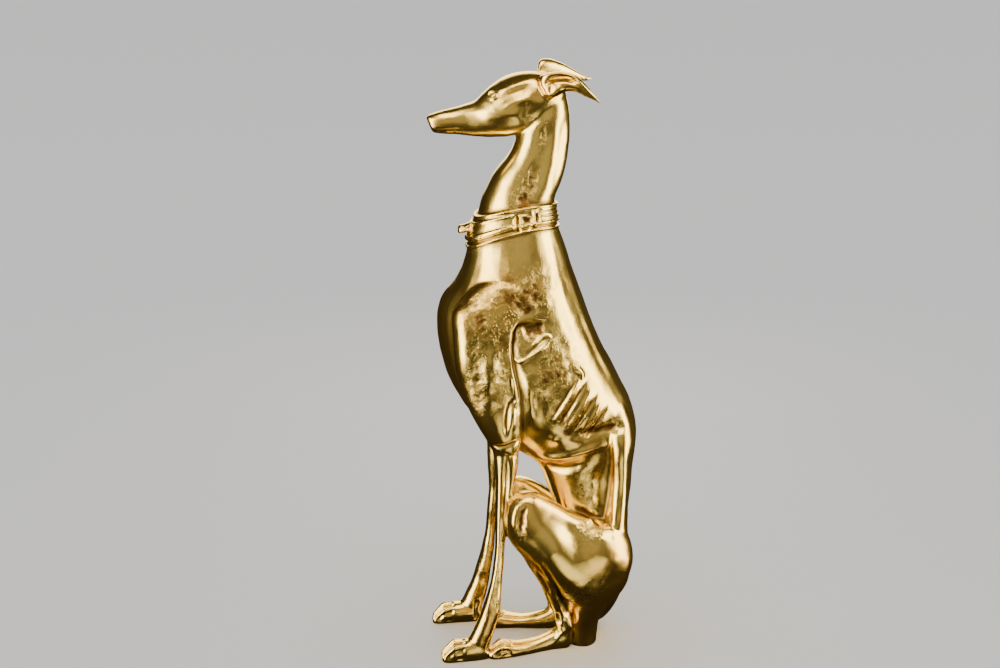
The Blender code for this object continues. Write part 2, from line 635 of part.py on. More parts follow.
def cut_flat(obj):
    """Flat soles where the figure meets the floor."""
    bm = bmesh.new()
    bm.from_mesh(obj.data)
    everything = bm.verts[:] + bm.edges[:] + bm.faces[:]
    bmesh.ops.bisect_plane(bm, geom=everything, plane_co=(0, 0, 0),
                           plane_no=(0, 0, 1), clear_inner=True)
    open_edges = [edge for edge in bm.edges if edge.is_boundary]
    bmesh.ops.holes_fill(bm, edges=open_edges, sides=0)
    drop_crumbs(bm)
    bmesh.ops.triangulate(bm, faces=bm.faces)
    bmesh.ops.recalc_face_normals(bm, faces=bm.faces)
    bm.to_mesh(obj.data)
    bm.free()


def centre(obj):
    """The middle of the base at the origin."""
    corners = np.array([vert.co for vert in obj.data.vertices])
    middle = (corners.min(axis=0) + corners.max(axis=0)) / 2
    for vert in obj.data.vertices:
        vert.co.x -= middle[0]
        vert.co.y -= middle[1]


def metal():
    """The gold-coloured finish of the whole casting."""
    material = bpy.data.materials.new("gold_metal")
    material.use_nodes = True
    shader = material.node_tree.nodes["Principled BSDF"]
    shader.inputs["Base Color"].default_value = GOLD
    shader.inputs["Metallic"].default_value = 1.0
    shader.inputs["Roughness"].default_value = 0.22
    return material


def main():
    for old in list(bpy.data.objects):
        bpy.data.objects.remove(old)
    bm = figure_forms()
    mesh = bpy.data.meshes.new("greyhound")
    bm.to_mesh(mesh)
    bm.free()
    statue = bpy.data.objects.new("greyhound", mesh)
    bpy.context.scene.collection.objects.link(statue)
    fuse(statue)
    carve(statue)
    thin_out(statue)
    cut_flat(statue)
    centre(statue)
    statue.data.shade_smooth()
    statue.data.materials.clear()
    statue.data.materials.append(metal())


main()
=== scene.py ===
"""The looks of a seated greyhound statue, one casting of polished gold-coloured metal.

The dog faces -Y and its left flank faces +X. The figure is laid out in shares of its
height, as its mould-maker would: trunk, neck, head, ears, legs, tail and collar are
closed lofts, fused into one skin, eased, carved, pitted and polished. The height, the
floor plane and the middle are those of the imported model.
"""

import logging
import math
from collections.abc import Sequence
from dataclasses import dataclass, field
from enum import Enum
from typing import Any

import bmesh
import bpy
import numpy as np
from mathutils import Matrix, Vector, noise
from mathutils.bvhtree import BVHTree


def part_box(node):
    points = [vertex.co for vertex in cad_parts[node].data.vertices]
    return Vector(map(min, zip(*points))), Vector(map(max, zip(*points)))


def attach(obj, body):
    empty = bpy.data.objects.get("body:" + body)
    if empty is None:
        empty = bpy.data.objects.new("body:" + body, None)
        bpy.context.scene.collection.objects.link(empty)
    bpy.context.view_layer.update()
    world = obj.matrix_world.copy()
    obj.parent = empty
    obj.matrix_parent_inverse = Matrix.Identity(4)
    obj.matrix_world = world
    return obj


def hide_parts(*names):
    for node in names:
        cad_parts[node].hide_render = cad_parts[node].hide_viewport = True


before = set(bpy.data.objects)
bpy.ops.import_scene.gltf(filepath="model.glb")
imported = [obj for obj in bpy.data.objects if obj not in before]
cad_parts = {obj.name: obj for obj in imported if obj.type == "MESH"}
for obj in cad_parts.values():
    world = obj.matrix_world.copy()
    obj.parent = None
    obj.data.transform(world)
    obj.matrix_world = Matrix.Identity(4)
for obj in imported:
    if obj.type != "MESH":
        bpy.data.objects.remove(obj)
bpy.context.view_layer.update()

log = logging.getLogger("greyhound")

Section = tuple[float, float, float, float, float, float]
Spot = tuple[float, float]
Colour = tuple[float, float, float, float]

NODE = "greyhound"
TOP = 79.99  # floor to the top of the right ear, in shares
FAR = 45.0  # farther out than any side of the figure, in shares


class Side(Enum):
    """A flank of the dog, as the sign of its x."""

    LEFT = 1.0
    RIGHT = -1.0


BOTH = (Side.LEFT, Side.RIGHT)
LEFT_ONLY = (Side.LEFT,)
RIGHT_ONLY = (Side.RIGHT,)


class Reach(Enum):
    """From where a stroke's route is laid on the skin, and what its numbers mean."""

    FLANK = "y, z"
    FRONT = "x, z"
    BACK = "x, z from behind"


class Profile(Enum):
    """The shape of a stroke across its route."""

    SWELL = "round"
    STEP = "up in front of the route and down behind it"


@dataclass(frozen=True)
class Stroke:
    """A ridge, groove, blob or step carved along a route. A negative height cuts in."""

    width: float
    height: float
    route: tuple[Spot, ...]
    reach: Reach = Reach.FLANK
    sides: tuple[Side, ...] = BOTH
    profile: Profile = Profile.SWELL
    tapered: bool = True


@dataclass(frozen=True)
class Patch:
    """An oval area of the flank where the skin is rough and dark: mostly rough cast skin, and over the
    hollow behind the shoulder painted shade.
    """

    middle: Spot
    radii: Spot
    turn: float = 0.0
    strength: float = 1.0


def below(value: np.ndarray, limit: float, steepness: float) -> np.ndarray:
    """1 below the limit and 0 above it, with a soft change between."""
    return 0.5 - 0.5 * np.tanh((value - limit) * steepness / 2)


@dataclass(frozen=True)
class Toes:
    """Four toes on a paw: the gaps between them and the knuckles across them."""

    gap: float
    splay: float
    count: int = 4
    length: float = 3.0
    width: float = 0.19
    depth: float = 0.5
    knuckle: tuple[float, float, float] = (1.7, 0.6, 0.24)  # back from the tip, width, height
    top: float = 3.4
    sole: float = 0.4
    fade: float = 8.0  # how sharply the toes end on all sides
    gauge: float = 1.0  # how far back from the tip the gap is as given
    overhang: float = 1.0  # how far past the rows' end the tip may reach

    def relief(self, spots: np.ndarray, tip: float, middle: float) -> np.ndarray:
        """How far the toes stand off one paw.

        Args:
            spots: Places on the skin, in shares.
            tip: The y of the paw's tip.
            middle: The x of its middle, with its sign.

        Returns:
            A height for each place.
        """
        x, y, z = spots.T
        back = y - tip
        spread = 1.0 - self.splay * (back - self.gauge) / self.length
        across = (x - middle) / (self.gap * spread)
        from_gap = (across - np.round(across)) * self.gap
        near = below(np.abs(across), self.count / 2, self.fade) * below(back, self.length, self.fade)
        near *= below(z, self.top, self.fade) * below(-z, -self.sole, self.fade)
        near *= (np.abs(x - middle) < 2 * self.count * self.gap) & (back > -self.overhang)
        at, width, height = self.knuckle
        lift = height * np.exp(-(((back - at) / width) ** 2))
        return near * (lift - self.depth * np.exp(-((from_gap / self.width) ** 2)))


def shifted(rows: Sequence[Section], first_in: float = 0.0, last_in: float = 0.0,
            first_drop: float = 0.0, last_forward: float = 0.0) -> tuple[Section, ...]:
    """Section rows moved by an amount that changes along the form.

    Args:
        rows: The rows.
        first_in: How far inward the first row goes.
        last_in: How far inward the last row goes.
        first_drop: How far down the first row goes. The last stays at its height.
        last_forward: How far forward the last row goes. The first stays where it is.

    Returns:
        The moved rows.
    """
    moved = []
    for place, (y1, z1, y2, z2, x, half) in enumerate(rows):
        share = place / (len(rows) - 1)
        drop, forward = first_drop * (1 - share), last_forward * share
        inward = first_in + (last_in - first_in) * share
        moved.append((y1 - forward, z1 - drop, y2 - forward, z2 - drop, x - inward, half))
    return tuple(moved)


def eased(rows: Sequence[Sequence[float]], steps: int) -> np.ndarray:
    """Rows read from a smooth curve through the given rows.

    Args:
        rows: The rows that the curve passes through.
        steps: How many rows are read for each given one.

    Returns:
        The rows read, one to a line.
    """
    given = np.asarray(rows, float)
    knots = np.vstack([2 * given[0] - given[1], given, 2 * given[-1] - given[-2]])
    found = []
    for a, b, c, d in zip(knots, knots[1:], knots[2:], knots[3:]):
        for step in range(steps):
            t = step / steps
            bend = (2 * a - 5 * b + 4 * c - d) * t**2 + (3 * b - a - 3 * c + d) * t**3
            found.append(0.5 * (2 * b + (c - a) * t + bend))
    return np.array(found + [given[-1]])


@dataclass
class Clay:
    """The figure's closed forms, before they are fused."""

    ring_sides: int = 32
    rings_per_row: int = 6
    fullness: float = 0.85
    off_tube: tuple[float, float, float] = (0.3, 1.0, 0.2)  # a direction that no tube runs in
    mesh: bmesh.types.BMesh = field(default_factory=bmesh.new)

    def loft(self, rows: Sequence[Section], side: Side = Side.LEFT) -> None:
        """Adds a closed form through section rows.

        Args:
            rows: First edge y, z, opposite edge y, z, middle x and half width of each.
            side: The flank it lies on.
        """
        rings = []
        for y1, z1, y2, z2, x, half in eased(rows, self.rings_per_row):
            middle = Vector((x * side.value, (y1 + y2) / 2, (z1 + z2) / 2))
            along = Vector((0, (y1 - y2) / 2, (z1 - z2) / 2))
            rings.append(self._ring(middle, along, Vector((half, 0, 0)), self.fullness))
        self._bridge(rings)

    def tube(self, rows: Sequence[tuple[float, ...]]) -> None:
        """Adds a round closed tube.

        Args:
            rows: The x, y, z and radius of each point of its middle line.
        """
        path = eased(rows, self.rings_per_row)
        rings = []
        for (x, y, z, radius), heading in zip(path, np.gradient(path[:, :3], axis=0)):
            heading = Vector(heading).normalized()
            side = heading.cross(Vector(self.off_tube)).normalized()
            upward = heading.cross(side) * radius
            rings.append(self._ring(Vector((x, y, z)), side * radius, upward, 1.0))
        self._bridge(rings)

    def _ring(self, middle: Vector, along: Vector, across: Vector, fullness: float) -> list:
        """One ring of vertices round a middle.

        Args:
            middle: Its centre.
            along: Its reach one way.
            across: Its reach the other way.
            fullness: Below 1, its sides are fuller than an ellipse's.

        Returns:
            Its vertices in order.
        """
        made = bmesh.ops.create_circle(self.mesh, segments=self.ring_sides, radius=1.0)
        for vert in made["verts"]:
            u, v = vert.co.x, vert.co.y
            vert.co = middle + u * along + math.copysign(abs(v) ** fullness, v) * across
        return made["verts"]

    def _bridge(self, rings: list[list]) -> None:
        """Joins rings into one closed form.

        Args:
            rings: The rings of vertices, from end to end.
        """
        for lower, upper in zip(rings, rings[1:]):
            pair = set(lower) | set(upper)
            loops = {
                edge for vert in pair for edge in vert.link_edges
                if edge.verts[0] in pair and edge.verts[1] in pair
                and len(edge.link_faces) < 2
            }
            bmesh.ops.bridge_loops(self.mesh, edges=list(loops))
        for end in (rings[0], rings[-1]):
            bmesh.ops.contextual_create(self.mesh, geom=end)


@dataclass
class Form:
    """A part of the figure: its sections, its carving, its rough skin and its relief."""

    rows: tuple[Section, ...] = ()
    carving: tuple[Stroke, ...] = ()
    patches: tuple[Patch, ...] = ()

    def lay(self, clay: Clay) -> None:
        """Adds the part to the clay."""
        clay.loft(self.rows)

    def strokes(self) -> tuple[Stroke, ...]:
        """All the part's strokes."""
        return self.carving

    def relief(self, spots: np.ndarray) -> np.ndarray:
        """How far repeated relief stands off the skin at each place."""
        return np.zeros(len(spots))


@dataclass
class Torso(Form):
    """Chest, ribs, belly, spine and rump, from the neck's base to the floor."""

    rows: tuple[Section, ...] = (
        (-6.6, 61.0, 2.6, 63.0, 0.0, 3.7),
        (-8.1, 58.0, 3.3, 59.4, 0.0, 4.4),
        (-8.6, 54.8, 4.4, 56.0, 0.0, 5.0),
        (-9.8, 51.8, 5.5, 52.6, 0.0, 5.8),
        (-11.6, 49.2, 6.6, 49.4, 0.0, 6.2),
        (-12.2, 46.2, 7.8, 46.0, 0.0, 6.4),
        (-11.8, 42.4, 9.6, 42.0, 0.0, 6.6),
        (-10.8, 38.2, 11.7, 38.2, 0.0, 6.7),
        (-8.8, 34.4, 13.5, 34.6, 0.0, 6.3),
        (-5.6, 31.2, 14.4, 31.8, 0.0, 5.6),
        (-2.2, 28.4, 14.5, 29.4, 0.0, 5.1),
        (0.8, 26.0, 14.3, 26.6, 0.0, 4.6),
        (2.2, 23.0, 14.0, 23.4, 0.0, 4.2),
        (3.4, 19.5, 13.7, 19.6, 0.0, 4.2),
        (4.0, 15.5, 13.5, 15.5, 0.0, 4.6),
        (4.4, 11.5, 13.1, 11.5, 0.0, 4.8),
        (4.6, 8.4, 12.0, 8.2, 0.0, 6.8),
        (4.7, 6.0, 10.9, 5.8, 0.0, 5.9),
        (4.8, 3.2, 9.8, 3.2, 0.0, 4.9),
        (4.8, -0.8, 9.4, -0.8, 0.0, 4.4),
    )
    ribs: int = 3
    rib_upper: tuple[Spot, Spot] = ((5.7, 39.3), (1.6, -1.7))
    rib_lower: tuple[Spot, Spot] = ((2.1, 33.3), (1.75, -1.3))
    rib_width: float = 0.28
    rib_height: float = 0.32
    rib_fall: float = 0.16
    rib_gap: Spot = (0.85, -0.5)
    carving: tuple[Stroke, ...] = (
        # hollow behind the shoulder, and the hooked fold below it
        Stroke(1.1, -0.4, ((-1.7, 45.2), (-0.4, 45.9), (1.2, 46.5))),
        Stroke(0.45, -0.2, ((-2.4, 46.4), (-0.6, 46.6), (1.6, 47.1))),
        Stroke(0.22, 0.2, ((-3.1, 42.8), (-2.6, 42.2), (-1.9, 42.2), (-0.3, 43.1),
                           (1.0, 44.0), (1.75, 44.9))),
        Stroke(0.2, -0.14, ((-1.5, 43.0), (-0.5, 43.8), (0.6, 44.7), (1.4, 45.2))),
        Stroke(0.18, 0.18, ((-1.2, 43.6), (-0.5, 44.2), (0.4, 44.95), (1.2, 45.4),
                            (1.65, 45.25), (1.75, 44.9))),
        # crease and soft column behind the shoulder's edge
        Stroke(0.2, -0.12, ((-2.1, 38.6), (-1.75, 36.0), (-1.55, 32.4))),
        Stroke(0.7, 0.22, ((-1.2, 41.0), (-0.9, 38.0), (-0.6, 35.0), (-0.3, 32.5))),
        Stroke(0.8, -0.14, ((0.5, 39.6), (0.5, 36.0), (0.9, 32.4))),
        Stroke(0.35, 0.28, ((4.9, 40.8), (5.9, 40.2), (6.2, 39.0))),
        # hollow under the last rib, the knob and the flank folds
        Stroke(0.75, -0.5, ((3.8, 31.2), (7.1, 31.5), (10.0, 31.9), (12.9, 32.3))),
        Stroke(0.9, 0.35, ((2.5, 30.9),)),
        Stroke(0.6, 0.3, ((-0.2, 27.7), (3.4, 28.0), (7.3, 29.2), (10.4, 29.9))),
        Stroke(0.7, -0.45, ((1.2, 26.3), (4.0, 26.2), (7.6, 27.4))),
        # groove beside the spine, the spine and the breastbone
        Stroke(0.8, -0.15, ((2.4, 57.2), (3.8, 53.3), (5.0, 49.6), (6.2, 46.5),
                            (8.2, 42.0), (9.8, 38.5), (11.4, 35.3))),
        Stroke(0.9, 0.25, ((0.0, 58.0), (0.0, 50.0), (0.0, 42.0), (0.0, 34.0)), Reach.BACK, LEFT_ONLY),
        Stroke(1.2, 0.3, ((0.0, 52.0), (0.0, 46.0), (0.0, 38.0)), Reach.FRONT, LEFT_ONLY),
        # belly column and the hollow behind it
        Stroke(1.0, -0.4, ((9.0, 26.8), (9.2, 22.6), (9.0, 18.4))),
    )
    patches: tuple[Patch, ...] = (
        Patch((-7.6, 48.2), (1.8, 2.4)),
        Patch((-1.6, 50.8), (4.2, 2.6), 20.0),
        Patch((-4.6, 46.6), (2.6, 2.6), 0.0, 0.7),
        # painted shade: this patch browns the hollow behind the shoulder so that it reads dark
        Patch((-0.4, 45.7), (2.0, 1.0), 35.0, 1.0),
        Patch((2.5, 40.6), (2.8, 3.6), -30.0),
        Patch((3.6, 34.2), (2.2, 1.6), 0.0, 0.5),
        Patch((4.8, 45.0), (1.5, 3.0), -30.0, 0.25),
        Patch((9.5, 33.0), (1.8, 1.0), 0.0, 0.7),
        Patch((7.2, 21.5), (1.6, 4.0), 0.0, 0.6),
        Patch((-7.9, 40.6), (1.3, 5.2), 0.0, 0.7),
        Patch((-4.6, 40.0), (1.4, 5.4), 0.0, 0.55),
    )

    def strokes(self) -> tuple[Stroke, ...]:
        """The trunk's strokes.

        Returns:
            The carving, and after it the ribs, each with the gap behind it.
        """
        ribs = []
        for rib in range(self.ribs):
            ends = tuple((at[0] + rib * step[0], at[1] + rib * step[1])
                         for at, step in (self.rib_upper, self.rib_lower))
            gap = tuple((y + self.rib_gap[0], z + self.rib_gap[1]) for y, z in ends)
            height = self.rib_height * (1.0 - self.rib_fall * rib)
            ribs += [Stroke(self.rib_width, height, ends), Stroke(self.rib_width, -height, gap)]
        return (*self.carving, *ribs)


@dataclass
class Neck(Form):
    """The neck, from under the collar to the nape."""

    rows: tuple[Section, ...] = (
        (-8.3, 57.4, 3.2, 58.4, 0.0, 4.3),
        (-7.0, 60.4, 2.95, 62.0, 0.0, 3.95),
        (-6.45, 62.6, 3.75, 64.2, 0.0, 3.7),
        (-5.5, 64.6, 4.3, 66.2, 0.0, 3.4),
        (-4.3, 66.4, 4.7, 68.2, 0.0, 3.1),
        (-3.1, 68.0, 4.9, 70.2, 0.0, 2.9),
        (-2.3, 69.6, 4.9, 72.2, 0.0, 2.8),
        (-1.8, 71.4, 4.8, 74.2, 0.0, 2.8),
        (-1.2, 73.2, 4.3, 75.9, 0.0, 2.6),
        (-0.6, 74.8, 3.2, 77.0, 0.0, 2.2),
    )
    carving: tuple[Stroke, ...] = (
        Stroke(1.2, -0.28, ((1.8, 73.4), (1.4, 70.6), (0.8, 68.0), (-0.1, 65.8),
                            (-1.0, 63.8), (-1.6, 61.6))),
        Stroke(1.5, -0.25, ((0.4, 67.4), (-1.0, 64.0), (-1.6, 61.4))),
        Stroke(0.8, -0.2, ((3.9, 73.2), (3.8, 70.6), (3.2, 66.8), (2.4, 63.6))),
        Stroke(0.8, 0.14, ((-2.4, 69.6),)),
    )
    patches: tuple[Patch, ...] = (
        Patch((-1.0, 64.2), (1.3, 2.6), -20.0), Patch((1.2, 70.6), (0.6, 2.2), -12.0, 0.8),
    )


@dataclass
class Head(Form):
    """Skull, long muzzle, eyes and cheeks."""

    rows: tuple[Section, ...] = (
        (-13.6, 73.05, -12.85, 71.15, 0.0, 0.75),
        (-13.2, 73.35, -12.5, 70.95, 0.0, 0.98),
        (-12.0, 73.75, -11.4, 70.8, 0.0, 1.2),
        (-10.2, 74.15, -9.7, 70.7, 0.0, 1.42),
        (-8.6, 74.55, -8.0, 70.6, 0.0, 1.65),
        (-7.2, 75.1, -6.6, 70.5, 0.0, 1.95),
        (-6.1, 76.2, -5.4, 70.4, 0.0, 2.3),
        (-4.9, 77.2, -4.4, 70.4, 0.0, 2.6),
        (-3.2, 78.15, -3.2, 70.4, 0.0, 2.9),
        (-1.4, 78.6, -1.9, 70.7, 0.0, 3.1),
        (0.5, 78.7, -0.2, 71.4, 0.0, 3.15),
        (2.3, 78.2, 1.6, 72.8, 0.0, 2.9),
        (3.8, 76.9, 3.2, 74.2, 0.0, 2.2),
        (4.5, 75.9, 4.2, 75.2, 0.0, 1.0),
    )
    eye: Spot = (-5.25, 75.9)
    eye_ring: float = 0.5
    eye_sides: int = 12
    eye_flatness: float = 0.85
    # width and height of the eye's strokes
    eye_hollow: Spot = (0.8, -0.16)
    eye_rim: Spot = (0.14, 0.2)
    eye_ball: Spot = (0.26, 0.26)
    carving: tuple[Stroke, ...] = (
        # brow, temple and cheekbone
        Stroke(0.5, 0.14, ((-4.6, 76.6), (-3.6, 76.8), (-2.2, 77.2), (0.4, 78.1))),
        Stroke(0.9, -0.22, ((-5.2, 74.6), (-4.2, 75.2), (-3.0, 76.0), (-1.5, 76.7), (0.1, 77.1))),
        Stroke(0.6, 0.12, ((-4.8, 74.3), (-3.2, 75.0), (-1.5, 75.5), (-0.3, 75.7))),
        Stroke(0.7, 0.14, ((-8.9, 74.0), (-5.4, 73.5), (-3.2, 73.5), (-1.7, 73.6))),
        # back of the cheek
        Stroke(1.1, -0.2, ((-1.1, 75.4), (-0.9, 73.8), (-0.3, 71.6))),
        # lips
        Stroke(0.12, -0.07, ((-12.6, 71.75), (-11.0, 71.6), (-8.6, 71.7))),
    )
    patches: tuple[Patch, ...] = (
        Patch((-3.0, 77.0), (2.0, 0.45), 20.0, 0.4),
        Patch((-0.8, 73.6), (0.6, 1.6), 0.0, 0.5),
    )

    def strokes(self) -> tuple[Stroke, ...]:
        """The face's strokes.

        Returns:
            The eye's hollow, rim and ball, and after them the carving.
        """
        y, z = self.eye
        turns = [2 * math.pi * step / self.eye_sides for step in range(self.eye_sides + 1)]
        rim = tuple((y + self.eye_ring * math.cos(turn),
                     z + self.eye_ring * self.eye_flatness * math.sin(turn)) for turn in turns)
        return (Stroke(*self.eye_hollow, (self.eye,)), Stroke(*self.eye_rim, rim, tapered=False),
                Stroke(*self.eye_ball, (self.eye,)), *self.carving)


@dataclass
class Ears(Form):
    """The two ears, folded and laid back."""

    left: tuple[Section, ...] = (
        (0.4, 78.15, 0.65, 76.9, 2.9, 0.7),
        (1.0, 78.55, 1.1, 76.05, 3.2, 0.85),
        (1.8, 78.85, 2.0, 75.5, 3.4, 0.9),
        (2.8, 79.0, 2.85, 75.9, 3.6, 0.85),
        (3.9, 79.0, 3.8, 76.5, 3.8, 0.75),
        (5.15, 78.5, 5.05, 76.4, 4.0, 0.6),
        (6.3, 77.45, 6.15, 75.8, 4.2, 0.45),
        (7.4, 76.25, 7.2, 75.3, 4.4, 0.32),
        (8.4, 75.05, 8.3, 74.75, 4.5, 0.18),
    )
    right: tuple[Section, ...] = (
        (1.1, 79.4, 0.9, 77.6, -2.2, 0.6),
        (1.5, 79.95, 1.5, 77.4, -2.6, 0.85),
        (2.6, 80.0, 2.6, 77.3, -3.0, 0.9),
        (3.85, 79.6, 3.7, 77.2, -3.3, 0.8),
        (5.1, 78.95, 5.0, 77.2, -3.6, 0.62),
        (6.3, 78.25, 6.2, 77.0, -3.9, 0.45),
        (7.45, 77.65, 7.4, 76.9, -4.1, 0.32),
        (8.5, 77.35, 8.5, 77.0, -4.2, 0.18),
    )
    carving: tuple[Stroke, ...] = (
        Stroke(0.2, 0.22, ((0.5, 78.3), (1.2, 78.45), (2.35, 78.7), (3.35, 78.75),
                           (4.5, 78.4), (5.4, 77.75), (6.3, 76.85), (7.2, 75.9)), sides=LEFT_ONLY),
        Stroke(0.3, -0.55, ((1.1, 77.4), (1.85, 77.95), (3.0, 78.15), (4.2, 78.0),
                            (5.1, 77.5)), sides=LEFT_ONLY),
        Stroke(0.45, 0.28, ((1.2, 77.0), (1.8, 76.2), (2.6, 76.8), (3.6, 77.1)), sides=LEFT_ONLY),
        Stroke(0.4, -0.5, ((2.2, 78.6), (3.8, 78.4), (5.6, 77.9)), sides=RIGHT_ONLY),
        Stroke(0.3, 0.3, ((1.2, 78.0), (1.8, 77.2), (3.2, 77.4)), sides=RIGHT_ONLY),
    )

    def lay(self, clay: Clay) -> None:
        """Adds both ears to the clay."""
        for rows in (self.left, self.right):
            clay.loft(rows)


@dataclass
class Legs(Form):
    """A pair of legs that end in paws."""

    toes: Toes = Toes(gap=0.76, splay=0.3)

    def rows_on(self, side: Side) -> dict[str, tuple[Section, ...]]:
        """The section rows of one side's leg, by the form's name."""
        return {"paw": self.rows}

    def lay(self, clay: Clay) -> None:
        """Adds both legs to the clay.

        Args:
            clay: The clay.
        """
        for side in BOTH:
            for rows in self.rows_on(side).values():
                clay.loft(rows, side)

    def relief(self, spots: np.ndarray) -> np.ndarray:
        """The toes of both paws.

        Args:
            spots: Places on the skin, in shares.

        Returns:
            A height for each place.
        """
        lift = np.zeros(len(spots))
        for side in BOTH:
            paw = self.rows_on(side)["paw"]
            lift += self.toes.relief(spots, paw[-1][0], paw[-2][4] * side.value)
        return lift


@dataclass
class Forelegs(Legs):
    """Shoulders, forearms and fore paws."""

    shoulder: tuple[Section, ...] = (
        (-1.6, 54.6, 2.4, 54.2, 2.9, 0.9),
        (-5.2, 53.2, 2.2, 51.8, 3.8, 1.7),
        (-8.4, 51.2, 0.6, 49.4, 4.5, 2.1),
        (-10.6, 48.7, -1.8, 47.4, 4.9, 2.35),
        (-10.9, 45.6, -2.9, 45.2, 5.0, 2.45),
        (-10.5, 41.6, -3.0, 41.8, 5.0, 2.45),
        (-9.6, 37.6, -2.6, 38.0, 4.9, 2.3),
        (-8.2, 34.0, -2.1, 34.4, 4.8, 2.0),
        (-6.7, 31.2, -1.8, 31.4, 4.6, 1.7),
        (-5.6, 29.2, -2.0, 29.2, 4.5, 1.4),
    )
    forearm: tuple[Section, ...] = (
        (-6.2, 31.2, -2.3, 31.2, 4.4, 1.2),
        (-5.5, 28.6, -2.15, 28.6, 4.45, 1.25),
        (-5.35, 26.0, -2.35, 26.0, 4.55, 1.15),
        (-5.25, 23.0, -3.0, 23.0, 4.7, 0.98),
        (-5.25, 19.7, -3.6, 19.7, 4.9, 0.88),
        (-5.35, 16.8, -3.9, 16.8, 5.1, 0.8),
        (-5.55, 13.8, -4.15, 13.8, 5.3, 0.78),
        (-6.0, 10.8, -4.45, 10.8, 5.5, 0.86),
        (-6.8, 8.4, -4.65, 8.4, 5.7, 1.08),
        (-7.4, 6.6, -4.85, 6.4, 5.85, 1.1),
        (-8.1, 4.8, -5.4, 4.2, 5.95, 1.12),
        (-8.9, 3.0, -6.3, 1.4, 6.0, 1.15),
    )
    paw: tuple[Section, ...] = (
        (-6.1, 1.7, -6.1, 0.1, 5.9, 0.8),
        (-7.3, 2.8, -7.1, -0.4, 5.95, 1.15),
        (-9.0, 2.85, -8.9, -0.4, 6.0, 1.35),
        (-10.6, 2.7, -10.5, -0.4, 6.0, 1.5),
        (-11.9, 2.0, -11.8, -0.4, 6.0, 1.45),
        (-12.75, 1.1, -12.7, -0.2, 6.0, 1.05),
    )
    right_reach: float = 0.5
    toes: Toes = Toes(gap=0.74, splay=0.1)
    carving: tuple[Stroke, ...] = (
        Stroke(0.45, 0.4, ((0.2, 47.4), (-1.5, 47.3), (-2.8, 47.0), (-3.4, 45.5), (-3.5, 43.5),
                           (-3.1, 41.0), (-2.6, 38.6), (-2.3, 35.7), (-1.9, 31.6)),
               profile=Profile.STEP),
        # point of the shoulder and front edge of the upper arm
        Stroke(1.9, 0.3, ((-10.0, 48.2),)),
        Stroke(1.5, 0.1, ((-10.1, 48.2), (-9.7, 44.0), (-9.2, 40.0))),
        Stroke(1.2, -0.16, ((-8.4, 48.6), (-8.0, 43.0), (-7.4, 37.0))),
        Stroke(0.8, -0.15, ((-10.4, 50.4), (-8.2, 50.2), (-6.0, 50.6))),
        Stroke(1.1, 0.25, ((-6.4, 44.0), (-6.0, 38.0))),
        # elbow
        Stroke(0.32, -0.4, ((-2.9, 37.2), (-3.6, 36.0), (-3.95, 34.0), (-4.0, 31.6))),
        Stroke(0.5, 0.2, ((-3.1, 36.0), (-3.1, 32.6))),
        Stroke(0.3, -0.24, ((-6.0, 30.5), (-4.6, 30.4), (-3.2, 30.8), (-2.0, 31.0))),
        # forearm
        Stroke(0.4, 0.24, ((-4.9, 28.9), (-4.8, 22.0), (-4.9, 17.0), (-5.3, 12.6),
                           (-6.3, 8.6), (-7.3, 6.2))),
        Stroke(0.26, -0.32, ((-3.85, 29.2), (-3.9, 25.9), (-4.0, 23.2), (-4.3, 20.4))),
        Stroke(0.3, 0.2, ((-3.0, 29.0), (-3.0, 25.9), (-3.4, 22.4))),
    )
    patches: tuple[Patch, ...] = (
        Patch((-5.8, 9.0), (1.0, 3.0), 0.0, 0.4),
    )

    def rows_on(self, side: Side) -> dict[str, tuple[Section, ...]]:
        """The section rows of one foreleg, whose paw is a little longer on the right.

        Args:
            side: The flank that it is on.

        Returns:
            The rows by the form's name.
        """
        reach = self.right_reach if side is Side.RIGHT else 0.0
        return {"shoulder": self.shoulder, "forearm": self.forearm,
                "paw": shifted(self.paw, last_forward=reach)}


